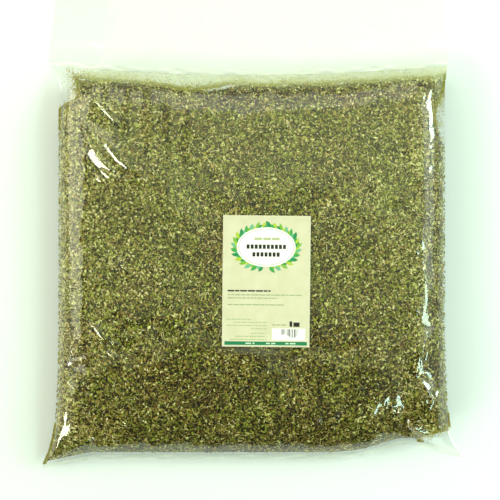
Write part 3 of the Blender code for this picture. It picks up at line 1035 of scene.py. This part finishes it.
@dataclass
class Herb:
    """The dried marjoram: a packed bed, with loose crumbs, stem bits and dust between it and the film."""

    form: BagForm
    side_inset: float = 2.2
    top_inset: float = 14.5
    bottom_inset: float = 3.0
    bed_depth: float = 2.3
    bed_rows: int = 120
    leaf_pieces: int = 3
    leaves_in_piece: int = 45000
    under_leaves: int = 4000
    stems: int = 5500
    brown_share: float = 0.40
    dust_tries: int = 600000
    dust_reach: float = 5.0
    dust_ends: Point = (45.0, 75.0)
    dust_at_sides: float = 0.1
    bed_crowding: float = 0.35
    bed_crumb: float = 1.4
    scatter_cells: int = 120
    least_depth: float = 0.15
    left_cut: Point3 = (25.0, 54.0, 16.0)
    right_cut: Point3 = (46.0, 34.0, 30.0)
    right_slack: Point3 = (15.0, 62.0, 22.0)
    top_sag: Point3 = (9.0, -0.33, 0.13)
    leaf_length: tuple[float, float, float, float] = (2.9, 0.34, 1.4, 6.5)
    stem_length: tuple[float, float, float, float] = (5.2, 0.38, 2.6, 12.0)
    leaf_width: Point = (0.36, 0.64)
    leaf_thickness: Point = (0.40, 0.85)
    upper_depth: Point = (0.4, 2.6)
    under_depth: Point = (0.4, 1.4)
    leaf_tone: Point = (0.62, 0.26)
    stem_tone: Point = (0.62, 0.24)
    dust_tone: Point = (0.80, 0.16)
    leaf_tilt: float = 0.34
    stem_tilt: float = 0.10
    dust_tilt: float = 0.20
    seed: int = 27

    def build(self) -> list[Piece]:
        """Makes the bed and every piece of crumbs."""
        draw = np.random.default_rng(self.seed)
        pieces = [self.bed()]
        for number in range(self.leaf_pieces):
            pieces.append(self.leaves(f"leaf_crumbs_{number + 1}", self.leaves_in_piece, True, draw))
        pieces.append(self.leaves("leaf_crumbs_under", self.under_leaves, False, draw))
        pieces.append(self.stem_bits(draw))
        pieces.append(self.dust(draw))
        return pieces

    def insets(self, along: Array) -> tuple[Array, Array]:
        """How far the herb stops short of the left and the right fold.

        A small step everywhere, with S-shaped cuts at the top left and bottom right corners, where the film
        is empty, and a bell of slack film high on the right.
        """
        down = self.form.length - along
        left_cut, right_cut = (
            reach * ease((start - distance) / run)
            for distance, (reach, start, run) in ((down, self.left_cut), (along, self.right_cut))
        )
        reach, middle, spread = self.right_slack
        return self.side_inset + left_cut, self.side_inset + right_cut + reach * bell(down, middle, spread)

    def place(self, across: Array, share: Array) -> tuple[Array, Array]:
        """Across and along in the bag of points of the herb, drawn in from the folds and the welds.

        Towards the top weld the herb sags in a bell left of the middle and in small waves.
        """
        top = self.form.length - self.top_inset - self.sag(across) * ease((share - 0.7) / 0.3)
        along = between(self.bottom_inset, top, share)
        left, right = self.form.side_folds(along)
        at_left, at_right = self.insets(along)
        low, high = 2.0 * at_left / (right - left) - 1.0, 1.0 - 2.0 * at_right / (right - left)
        return between(low, high, (across + 1.0) / 2.0), along

    def sag(self, across: Array) -> Array:
        """How far the herb's edge sags under the top weld: a bell left of the middle, and small waves."""
        waves = 1.6 * np.sin(23.0 * across + 0.7 * np.sin(41.0 * across))
        reach, middle, spread = self.top_sag
        return reach * bell(across, middle, spread) + waves

    def skin(self, across: Array, share: Array, upper: bool) -> Array:
        """Points of the bag's film over or under the herb, one row each."""
        a, b = self.place(across, share)
        x, y = self.form.plan(a, b)
        low, high = self.form.heights(a, b)
        return np.stack([x, y, high if upper else low], axis=-1)

    def bed(self) -> Piece:
        """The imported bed: under each ply by the bed's depth, with crumbs in relief, closed round its edge."""
        count = self.bed_rows
        line = crowded(np.linspace(0.0, 1.0, count), self.bed_crowding)
        across, share = np.meshgrid(2.0 * line - 1.0, line)
        top, floor = self.skin(across, share, True), self.skin(across, share, False)
        middle = (top[..., 2] + floor[..., 2]) / 2.0
        edge = (np.abs(across) > INNER) | (share < 1.0 - INNER) | (share > INNER)
        draw = np.random.default_rng(self.seed + 1)
        crumbs = draw.uniform(0.0, self.bed_crumb, top.shape[:2])
        high = np.maximum(top[..., 2] - self.bed_depth - crumbs, middle + 0.1)
        low = np.minimum(floor[..., 2] + 1.0 + 0.6 * crumbs, middle - 0.1)
        top[..., 2] = np.where(edge, middle, high)
        floor[..., 2] = np.where(edge, middle, low)
        points = np.concatenate([top.reshape(-1, 3), floor.reshape(-1, 3)])
        made = make_mesh("herb_bed", points, shell_faces(count, count), HerbBed(), smooth=False)
        merge_doubles(made)
        return made

    def scatter(self, count: int, upper: bool, draw: np.random.Generator) -> Spots:
        """Seeded places on the skin, evenly by area.

        Cells of a grid over the skin are drawn with a chance in step with their area, and a point is drawn in
        each cell.

        Args:
            count: how many places are drawn.
            upper: whether they are on the upper skin.
            draw: the seeded source.

        Returns:
            Points, two tangents at right angles, and normals away from the herb, one row each.
        """
        cells = self.scatter_cells
        line = np.linspace(0.0, 1.0, cells + 1)
        across, share = np.meshgrid(2.0 * line - 1.0, line)
        skin = self.skin(across, share, upper)
        sides = np.cross(skin[:-1, 1:] - skin[:-1, :-1], skin[1:, :-1] - skin[:-1, :-1])
        area = np.linalg.norm(sides, axis=-1).ravel()
        cell = draw.choice(cells * cells, size=count, p=area / area.sum())
        a = 2.0 * (cell % cells + draw.random(count)) / cells - 1.0
        b = (cell // cells + draw.random(count)) / cells
        a, b = np.clip(a, -0.9985, 0.9985), np.clip(b, 0.002, 0.998)
        step = 1.5e-3
        here = self.skin(a, b, upper)
        first = self.skin(a + step, b, upper) - self.skin(a - step, b, upper)
        second = self.skin(a, b + step, upper) - self.skin(a, b - step, upper)
        first /= np.linalg.norm(first, axis=1, keepdims=True)
        normal = np.cross(first, second)
        normal /= np.linalg.norm(normal, axis=1, keepdims=True)
        second = np.cross(normal, first)
        return here, first, second, normal if upper else -normal

    def crumbs(
        self,
        name: str,
        shape: Array,
        faces: Array,
        sizes: Array,
        spots: Spots,
        tilt: float,
        depth: Array,
        tones: Array,
        finish: Finish,
        draw: np.random.Generator,
    ) -> Piece:
        """Copies a small shape to seeded places on the skin, each turned, tilted and bent by its own draw.

        Args:
            name: the piece's name.
            shape: corners of one crumb in units of its length, width and thickness.
            faces: corner numbers of one crumb.
            sizes: length, width and thickness of each crumb in millimetres.
            spots: points of the skin, two tangents and normals, one row for each crumb.
            tilt: how far a crumb may lean, in radians.
            depth: depth of each crumb's middle under the skin.
            tones: tone of each crumb, from 0 to 1.
            finish: the crumbs' finish.
            draw: the seeded source.

        Returns:
            One object that holds them all.
        """
        count = len(sizes)
        here, first, second, normal = spots
        local = shape[None] * sizes[:, None, :] * draw.uniform(0.72, 1.28, (count, len(shape), 1))
        spin = draw.uniform(0.0, 2.0 * np.pi, (count, 1))
        lean, roll = draw.normal(0.0, tilt, (count, 1)), draw.normal(0.0, 1.6 * tilt, (count, 1))
        px, py, pz = local[..., 0], local[..., 1], local[..., 2]
        py, pz = turned_by(roll, py, pz)
        px, pz = turned_by(lean, px, pz)
        px, py = turned_by(spin, px, py)
        pz = np.minimum(pz - depth[:, None], -self.least_depth)
        points = here[:, None]
        for part, axis in ((px, first), (py, second), (pz, normal)):
            points = points + part[..., None] * axis[:, None]
        numbers = (faces[None] + len(shape) * np.arange(count)[:, None, None]).reshape(-1, 3)
        made = make_mesh(name, points.reshape(-1, 3), numbers, finish, smooth=False)
        store(made, "tone", np.repeat(tones, len(shape)))
        x, y = here[:, 0], here[:, 1]
        chance = self.brown_share + 0.10 * Waves(31, 80.0).at(x, y) + 0.14 * ease((-40.0 - y) / 140.0)
        brown = (draw.random(count) < chance) * draw.uniform(0.4, 1.0, count)
        store(made, "brown", np.repeat(brown, len(shape)))
        return made

    @staticmethod
    def lengths(draw: np.random.Generator, count: int, sizes: tuple[float, float, float, float]) -> Array:
        """Seeded lengths, log-normal about a median with a spread, and held between a least and a most."""
        median, spread, least, most = sizes
        return np.clip(draw.lognormal(math.log(median), spread, count), least, most)

    def leaves(self, name: str, count: int, upper: bool, draw: np.random.Generator) -> Piece:
        """Crumbs of leaf: flat four-faced scraps, folded along one edge, with a four-sided outline.

        Painted shade makes them darker the deeper they lie and towards the near end, and painted light makes
        them paler along both side folds.
        """
        spots = self.scatter(count, upper, draw)
        length = self.lengths(draw, count, self.leaf_length)
        width = length * draw.uniform(*self.leaf_width, count)
        thickness = draw.uniform(*self.leaf_thickness, count)
        sizes = np.stack([length, width, thickness], axis=1)
        sunk = draw.random(count)
        depth = between(*(self.upper_depth if upper else self.under_depth), sunk)
        x, y = spots[0][:, 0], spots[0][:, 1]
        left, right = self.form.left_fold, self.form.right_fold
        # Random tone, less painted shade for the crumbs that lie deeper between the others.
        tones = draw.normal(*self.leaf_tone, count) - 0.46 * ease((sunk - 0.15) / 0.6)
        # Painted light: paler along both side folds. Painted shade: darker towards the near end.
        tones += 0.20 * bell(x, left, 26.0) + 0.12 * bell(x, left, 110.0)
        tones += 0.13 * bell(x, right, 80.0) - 0.10 * ease((-60.0 - y) / 120.0)
        tones = np.clip(tones + 0.04 * Waves(37, 55.0).at(x, y), 0.0, 1.0)
        return self.crumbs(name, *LEAF_SCRAP, sizes, spots, self.leaf_tilt, depth, tones, LEAF_FINISH, draw)

    def dust(self, draw: np.random.Generator) -> Piece:
        """Fine pale dust on the empty film: its chance falls exponentially away from the herb."""
        tries = self.dust_tries
        across, along = draw.uniform(-1.0, 1.0, tries), draw.uniform(0.0, self.form.length - 1.0, tries)
        x, y = self.form.plan(across, along)
        left, right = self.form.side_folds(along)
        at_left, at_right = self.insets(along)
        end = self.form.length - self.top_inset - self.sag(across)
        gap = np.maximum(np.maximum(along - end, at_left - (x - left)), at_right - (right - x))
        at_end = (along > self.form.length - self.dust_ends[1]) | (along < self.dust_ends[0])
        chance = np.where(at_end, 1.0, self.dust_at_sides) * np.exp(-np.maximum(gap, 0.0) / self.dust_reach)
        kept = (gap > -2.0) & (draw.random(tries) < chance)
        x, y, across, along = x[kept], y[kept], across[kept], along[kept]
        flat = np.broadcast_to(np.eye(3)[:, None], (3, len(x), 3))
        spots = (np.stack([x, y, self.form.heights(across, along)[1]], axis=-1), *flat)
        near = np.exp(-np.maximum(gap[kept], 0.0) / 4.0)
        length = draw.uniform(0.6, 1.5, len(x)) + 1.3 * near
        sizes = np.stack([length, length * draw.uniform(0.5, 0.9, len(x)), np.full(len(x), 0.3)], axis=1)
        tones = np.clip(draw.normal(*self.dust_tone, len(x)) - 0.2 * near, 0.0, 1.0)
        depth = np.full(len(x), 0.35)
        looks = self.dust_tilt, depth, tones, LEAF_FINISH
        return self.crumbs("herb_dust", *LEAF_SCRAP, sizes, spots, *looks, draw)

    def stem_bits(self, draw: np.random.Generator) -> Piece:
        """Broken bits of stem: three-sided rods with a slight twist."""
        turns = np.radians([90.0, 210.0, 330.0])
        near = np.stack([np.full(3, -0.5), 0.5 * np.cos(turns), 0.5 * np.sin(turns)], axis=1)
        far = np.stack([np.full(3, 0.5), 0.42 * np.cos(turns + 0.5), 0.42 * np.sin(turns + 0.5)], axis=1)
        sides = (0, 1, 3), (1, 4, 3), (1, 2, 4), (2, 5, 4), (2, 0, 5), (0, 3, 5)
        faces = np.array([(0, 2, 1), (3, 4, 5), *sides])
        count = self.stems
        thick = draw.uniform(0.5, 1.0, count)
        length = self.lengths(draw, count, self.stem_length)
        sizes = np.stack([length, thick, thick], axis=1)
        tones = np.clip(draw.normal(*self.stem_tone, count), 0.0, 1.0)
        depth = draw.uniform(0.6, 1.9, count)
        finish = Crumbs("marjoram_stem", STEM_TONES, roughness=0.7)
        shape = np.concatenate([near, far])
        spots = self.scatter(count, True, draw)
        looks = self.stem_tilt, depth, tones, finish
        return self.crumbs("stem_bits", shape, faces, sizes, spots, *looks, draw)


class Ink(Enum):
    """Colours of the label's print."""

    WHITE = "#FBF8FA"
    RIM = "#B9A9B4"
    BLACK = "#231C1E"
    GREY = "#A3AC86"
    PALE_GREY = "#B7C094"
    BAND = "#0E7A52"
    BAND_LIGHT = "#CFE6D2"
    LEAF_DEEP = "#178A50"
    LEAF = "#3FA251"
    LEAF_FRESH = "#7DB63A"
    LEAF_PALE = "#B4CC3E"
    LEAF_BLUE = "#6DB795"
    BAR = "#6C6272"


@dataclass
class Print:
    """Flat inked shapes, gathered in label millimetres from its top left corner, with v downwards."""

    u: list[Array] = field(default_factory=list)
    v: list[Array] = field(default_factory=list)
    layer: list[Array] = field(default_factory=list)
    faces: list[Array] = field(default_factory=list)
    ink: list[Array] = field(default_factory=list)
    count: int = 0
    cell: float = 12.0
    dash: Point = (2.2, 9.0)
    dash_gap: float = 0.9

    def patch(self, u: Array, v: Array, ink: Ink, layer: int) -> None:
        """Adds a grid of points as one inked shape on a layer."""
        rows, columns = u.shape
        spread = np.cross(
            [u[0, -1] - u[0, 0] + u[-1, -1] - u[-1, 0], v[0, -1] - v[0, 0] + v[-1, -1] - v[-1, 0]],
            [u[-1, 0] - u[0, 0] + u[-1, -1] - u[0, -1], v[-1, 0] - v[0, 0] + v[-1, -1] - v[0, -1]],
        )
        self.faces.append(grid_faces(rows, columns, first=self.count, turned=bool(spread > 0.0)))
        self.u.append(u.ravel())
        self.v.append(v.ravel())
        self.layer.append(np.full(u.size, float(layer)))
        self.ink.append(np.tile(colour(ink.value), (u.size, 1)))
        self.count += u.size

    def box(self, u0: float, v0: float, u1: float, v1: float, ink: Ink, layer: int = 1) -> None:
        """A rectangle."""
        columns = max(2, int((u1 - u0) / self.cell) + 2)
        rows = max(2, int((v1 - v0) / self.cell) + 2)
        u, v = np.meshgrid(np.linspace(u0, u1, columns), np.linspace(v0, v1, rows))
        self.patch(u, v, ink, layer)

    def oval(self, centre: Point, half: Point, ink: Ink, layer: int) -> None:
        """A filled oval: a square grid drawn to a disc, each side shortened by the other's square."""
        s, t = np.meshgrid(np.linspace(-1.0, 1.0, 25), np.linspace(-1.0, 1.0, 25))
        u = centre[0] + half[0] * s * np.sqrt(1.0 - t * t / 2.0)
        v = centre[1] + half[1] * t * np.sqrt(1.0 - s * s / 2.0)
        self.patch(u, v, ink, layer)

    def leaf(self, root: Point, heading: float, length: float, width: float, ink: Ink, layer: int) -> None:
        """A leaf: its half width is a sine along it, drawn out to a point at the tip."""
        s, t = np.meshgrid(np.linspace(0.0, 1.0, 13), np.linspace(-1.0, 1.0, 5))
        aside = 0.5 * width * np.sin(np.pi * np.clip(s, 0.005, 0.995)) ** 0.8 * (1.0 - 0.25 * s) * t
        ahead = length * s
        u, v = turned_by(math.radians(heading), ahead, aside)
        self.patch(root[0] + u, root[1] - v, ink, layer)

    def dashes(
        self, u0: float, u1: float, v: float, height: float, ink: Ink, draw: np.random.Generator
    ) -> None:
        """A row of plain dashes of seeded lengths, which stands for a line of small print."""
        at = u0
        while at < u1 - 1.0:
            end = min(at + draw.uniform(*self.dash), u1)
            self.box(at, v - height / 2.0, end, v + height / 2.0, ink)
            at = end + self.dash_gap


SMALL_PRINT = (
    (6.0, 55.0, 86.0, 1.7, Ink.BLACK),
    (6.0, 92.0, 90.6, 1.2, Ink.GREY),
    (6.0, 63.0, 94.2, 1.2, Ink.GREY),
    (6.0, 71.0, 101.8, 1.2, Ink.GREY),
    (5.0, 34.0, 118.6, 1.2, Ink.PALE_GREY),
    (13.0, 51.0, 122.0, 1.2, Ink.PALE_GREY),
    (5.0, 51.0, 125.6, 1.2, Ink.PALE_GREY),
    (33.0, 51.0, 129.2, 1.2, Ink.PALE_GREY),
    (33.0, 51.0, 134.4, 1.2, Ink.PALE_GREY),
    (15.0, 51.0, 138.0, 1.2, Ink.PALE_GREY),
    (9.0, 51.0, 141.4, 1.2, Ink.PALE_GREY),
    (57.0, 74.0, 124.6, 1.2, Ink.GREY),
)
"""Start, end, height on the label, size and ink of each row of dashes, in millimetres."""


@dataclass
class Label:
    """The paper label and its print."""

    form: BagForm
    centre: Point = (17.4, -66.2)
    width: float = 100.0
    height: float = 150.0
    turn: float = -0.6
    film_gap: float = 0.65
    thickness: float = 0.25
    layer_step: float = 0.03
    sheet_grid: tuple[int, int] = (91, 61)
    flat_half: Point = (40.0, 64.0)
    corner_lift: float = 0.010
    oval_centre: Point = (49.5, 36.0)
    oval_half: Point = (33.5, 22.5)
    rim_from: float = 1.8
    rim_to: float = 2.4
    print_seed: int = 19

    def on_bag(self, u: Array, v: Array) -> tuple[Array, Array, Array]:
        """Place on the bag of points of the label: turned about its centre and laid on the film."""
        du, dv = u - self.width / 2.0, self.height / 2.0 - v
        aside, ahead = turned_by(math.radians(self.turn), du, dv)
        x, y = self.centre[0] + aside, self.centre[1] + ahead
        across, along = self.form.unplan(x, y)
        past_u, past_v = (
            np.maximum(np.abs(part) - flat, 0.0) for part, flat in zip((du, dv), self.flat_half, strict=True)
        )
        corner = np.hypot(past_u, past_v)
        return x, y, self.form.heights(across, along)[1] + self.film_gap + self.corner_lift * corner**2

    def build(self) -> list[Piece]:
        """Makes the sheet and its print."""
        return [self.sheet(), self.printed()]

    def sheet(self) -> Piece:
        """The sheet of paper, given its thickness away from the film."""
        rows, columns = self.sheet_grid
        u, v = np.meshgrid(np.linspace(0.0, self.width, columns), np.linspace(self.height, 0.0, rows))
        made = make_mesh("label_sheet", corners(*self.on_bag(u, v)), grid_faces(rows, columns), LabelPaper())
        wall = made.modifiers.new("paper", "SOLIDIFY")
        wall.thickness = self.thickness * MM
        wall.offset = 1.0
        return made

    def printed(self) -> Piece:
        """The print: an oval with a garland of plain leaves, rows of dashes, a bar field and a band."""
        sheet = Print()
        draw = np.random.default_rng(self.print_seed)
        centre, half = self.oval_centre, self.oval_half
        self.garland(sheet, centre, half, draw)
        sheet.oval(centre, half, Ink.WHITE, 4)
        for inset, ink, layer in ((self.rim_from, Ink.RIM, 5), (self.rim_to, Ink.WHITE, 6)):
            sheet.oval(centre, (half[0] - inset, half[1] - inset), ink, layer)
        for v, first, count in ((35.6, 27.2, 10), (44.4, 33.9, 7)):
            for number in range(count):
                start = first + 4.6 * number
                sheet.box(start, v - 2.4, start + 3.3, v + 2.4, Ink.BLACK, 7)
        for start in (36.0, 46.0, 56.0):
            sheet.box(start, 25.2, start + 8.6, 28.0, Ink.PALE_GREY, 7)
        for u0, u1, v, height, ink in SMALL_PRINT:
            sheet.dashes(u0, u1, v, height, ink, draw)
        sheet.box(77.0, 120.4, 80.0, 126.6, Ink.BLACK)
        sheet.box(81.4, 121.6, 88.4, 126.6, Ink.BLACK)
        sheet.box(57.0, 128.5, 95.0, 142.2, Ink.WHITE, 1)
        at = 68.0
        while at < 93.2:
            bar = float(draw.choice((0.5, 0.8, 1.2)))
            sheet.box(at, 129.4, at + bar, 139.4, Ink.BAR, 2)
            at += bar + float(draw.choice((0.6, 0.9, 1.3)))
        sheet.box(3.0, 143.8, 97.0, 147.8, Ink.BAND, 1)
        at = 10.0
        while at < 90.0:
            end = at + float(draw.uniform(3.0, 8.0))
            sheet.box(at, 145.1, min(end, 90.0), 146.5, Ink.BAND_LIGHT, 2)
            at = end + 1.6
        u, v = np.concatenate(sheet.u), np.concatenate(sheet.v)
        x, y, z = self.on_bag(u, v)
        z = z + self.thickness + 0.02 + self.layer_step * np.concatenate(sheet.layer)
        faces = np.concatenate(sheet.faces)
        made = make_mesh("label_print", corners(x, y, z), faces, PrintingInk(), smooth=False)
        ink = made.data.color_attributes.new("ink", "FLOAT_COLOR", "POINT")
        ink.data.foreach_set("color", np.concatenate(sheet.ink).astype(np.float32).ravel())
        return made

    @staticmethod
    def garland(sheet: Print, centre: Point, half: Point, draw: np.random.Generator) -> None:
        """A laurel of plain rounded leaves that climbs both sides of an oval, in pairs that lean outwards."""
        greens = (Ink.LEAF_DEEP, Ink.LEAF_FRESH, Ink.LEAF, Ink.LEAF_PALE, Ink.LEAF_BLUE)
        steps = 15
        for side in (-1.0, 1.0):
            for step in range(steps):
                turn = math.radians(-84.0 + 166.0 * step / (steps - 1))
                cos, sin = side * math.cos(turn), math.sin(turn)
                root = (centre[0] + 1.02 * half[0] * cos, centre[1] - 1.02 * half[1] * sin)
                ahead = math.degrees(math.atan2(half[1] * math.cos(turn), -side * half[0] * math.sin(turn)))
                for number, lean in enumerate((-12.0, -48.0)):
                    ink = greens[(2 * step + number + int(side)) % len(greens)]
                    length, width = 7.6 + float(draw.uniform(-1.0, 1.6)), 4.2 + float(draw.uniform(-0.5, 0.8))
                    sheet.leaf(root, ahead + side * lean, length, width, ink, 2 + number)


# The stage


@dataclass(frozen=True)
class Lamp:
    """A soft lamp that faces a point, in metres.

    Its radiance is how bright its face is, where a white wall in full light is about 1. The film's creases
    are tuned to the lamps that give the glints.
    """

    name: str
    place: Point3
    target: Point3
    size: Point
    radiance: float
    hex_code: str
    roll: float = 0.0
    gives_glints: bool = False

    def build(self) -> None:
        """Adds the lamp, turned to its point and then about its own axis."""
        light = bpy.data.lights.new(self.name, "AREA")
        light.shape = "RECTANGLE"
        light.size, light.size_y = self.size
        light.energy = self.radiance * math.pi * self.size[0] * self.size[1]
        light.color = colour(self.hex_code)[:3]
        made = add_object(self.name, light)
        aim = (Vector(self.target) - Vector(self.place)).to_track_quat("-Z", "Y")
        roll = Matrix.Rotation(math.radians(self.roll), 3, "Z")
        made.rotation_euler = (aim.to_matrix() @ roll).to_euler()
        made.location = self.place


MIDDLE = (0.0, 0.0, 0.0)


@dataclass
class Studio:
    """The table, soft lights and the camera, which looks straight down as the photograph does."""

    camera_place: Point3 = (-0.0012, -0.0305, 1.2)
    lens: float = 72.2
    nearest_seen: float = 0.05
    table_half: float = 4000.0
    world_colour: str = "#F4F8EA"
    glow: float = 0.50
    zenith: float = 0.06
    near_share: float = 0.05
    overhead_from: Point = (0.62, 0.86)
    near_side: Point = (-0.75, -0.05)
    lamps: tuple[Lamp, ...] = (
        Lamp("overhead_softbox", (0.65, 1.05, 2.2), (0.1, 0.1, 0.0), (2.4, 1.8), 0.64, "#F0FFC0", 24.0),
        Lamp("ceiling", (0.50, 0.95, 2.6), (0.1, 0.1, 0.0), (4.4, 3.4), 0.47, "#F2FFCA", 24.0),
        Lamp("left_window", (-1.6, 0.55, 1.3), MIDDLE, (1.8, 1.3), 2.3, "#FFFFE4"),
        Lamp("back_window", (0.1, 1.9, 1.25), MIDDLE, (1.6, 1.0), 1.1, "#FFFFF0"),
        Lamp("left_strip", (-3.9, -2.4, 2.27), (-0.15, 0.08, 0.0), (3.0, 0.85), 16.0, "#F8FFE6", 0.0, True),
        Lamp("right_pane", (3.3, 1.43, 1.95), (0.2, -0.2, 0.0), (1.7, 1.0), 13.0, "#E6FFEE", 0.0, True),
        Lamp("right_window", (2.2, 0.6, 1.5), MIDDLE, (1.6, 1.2), 1.5, "#F2FFF4"),
        Lamp("right_strip", (1.20, -0.72, 1.45), (0.15, -0.1, 0.0), (1.5, 0.23), 11.0, "#DCFFEE", 0.0, True),
    )

    def build(self) -> None:
        """Makes the whole stage."""
        self.table()
        for lamp in self.lamps:
            lamp.build()
        self.world()
        self.camera()
        bpy.context.scene.view_settings.view_transform = "Standard"

    def table(self) -> None:
        """A wide flat table top."""
        half = self.table_half
        points = np.array([(-half, -half, 0.0), (half, -half, 0.0), (half, half, 0.0), (-half, half, 0.0)])
        make_mesh("table_top", points, np.array([(0, 1, 2, 3)]), PaleTable(), smooth=False)

    def world(self) -> None:
        """A surround that is bright towards the horizon, dark overhead, and dimmer on the near side."""
        world = bpy.data.worlds.new("surround")
        world.use_nodes = True
        tree = world.node_tree
        heading = add_node(tree, "ShaderNodeTexCoord").outputs["Generated"]
        parts = add_node(tree, "ShaderNodeSeparateXYZ", {"Vector": heading})
        soft = {"interpolation_type": "SMOOTHSTEP"}
        high = carried(tree, parts.outputs["Z"], self.overhead_from, (self.glow, self.zenith), **soft)
        near = carried(tree, parts.outputs["Y"], self.near_side, (self.near_share, 1.0), **soft)
        strength = computed(tree, "MULTIPLY", high, near)
        shade = tree.nodes["Background"]
        shade.inputs["Color"].default_value = colour(self.world_colour)
        tree.links.new(strength, shade.inputs["Strength"])
        bpy.context.scene.world = world

    def camera(self) -> None:
        """A camera over the middle of the picture, facing straight down."""
        data = bpy.data.cameras.new("camera")
        data.lens = self.lens
        data.clip_start = self.nearest_seen
        made = add_object("camera", data)
        made.location = self.camera_place
        bpy.context.scene.camera = made


def place_piece(piece: Piece, node: str) -> None:
    """Says what a piece rides on and which solid it stands for."""
    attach(piece, "root")
    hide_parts(node)
    LOG.info("%s: %d faces, stands for %s", piece.name, len(piece.data.polygons), node)


def main() -> None:
    """Builds the herb, the film and the label, and then the stage."""
    form = BagForm()
    label = Label(form)
    studio = Studio()
    glints = tuple(lamp.place for lamp in studio.lamps if lamp.gives_glints)
    label_half = (label.width / 2.0, label.height / 2.0)
    creases = FilmCreases(form, label.centre, label_half, studio.camera_place, glints)
    for piece in Herb(form).build():
        place_piece(piece, "dried_marjoram")
    for piece in FilmBag(form, creases).build():
        place_piece(piece, "film_bag")
    for piece in label.build():
        place_piece(piece, "paper_label")
    studio.build()


if __name__ == "__main__":
    logging.basicConfig(level=logging.INFO)
    main()
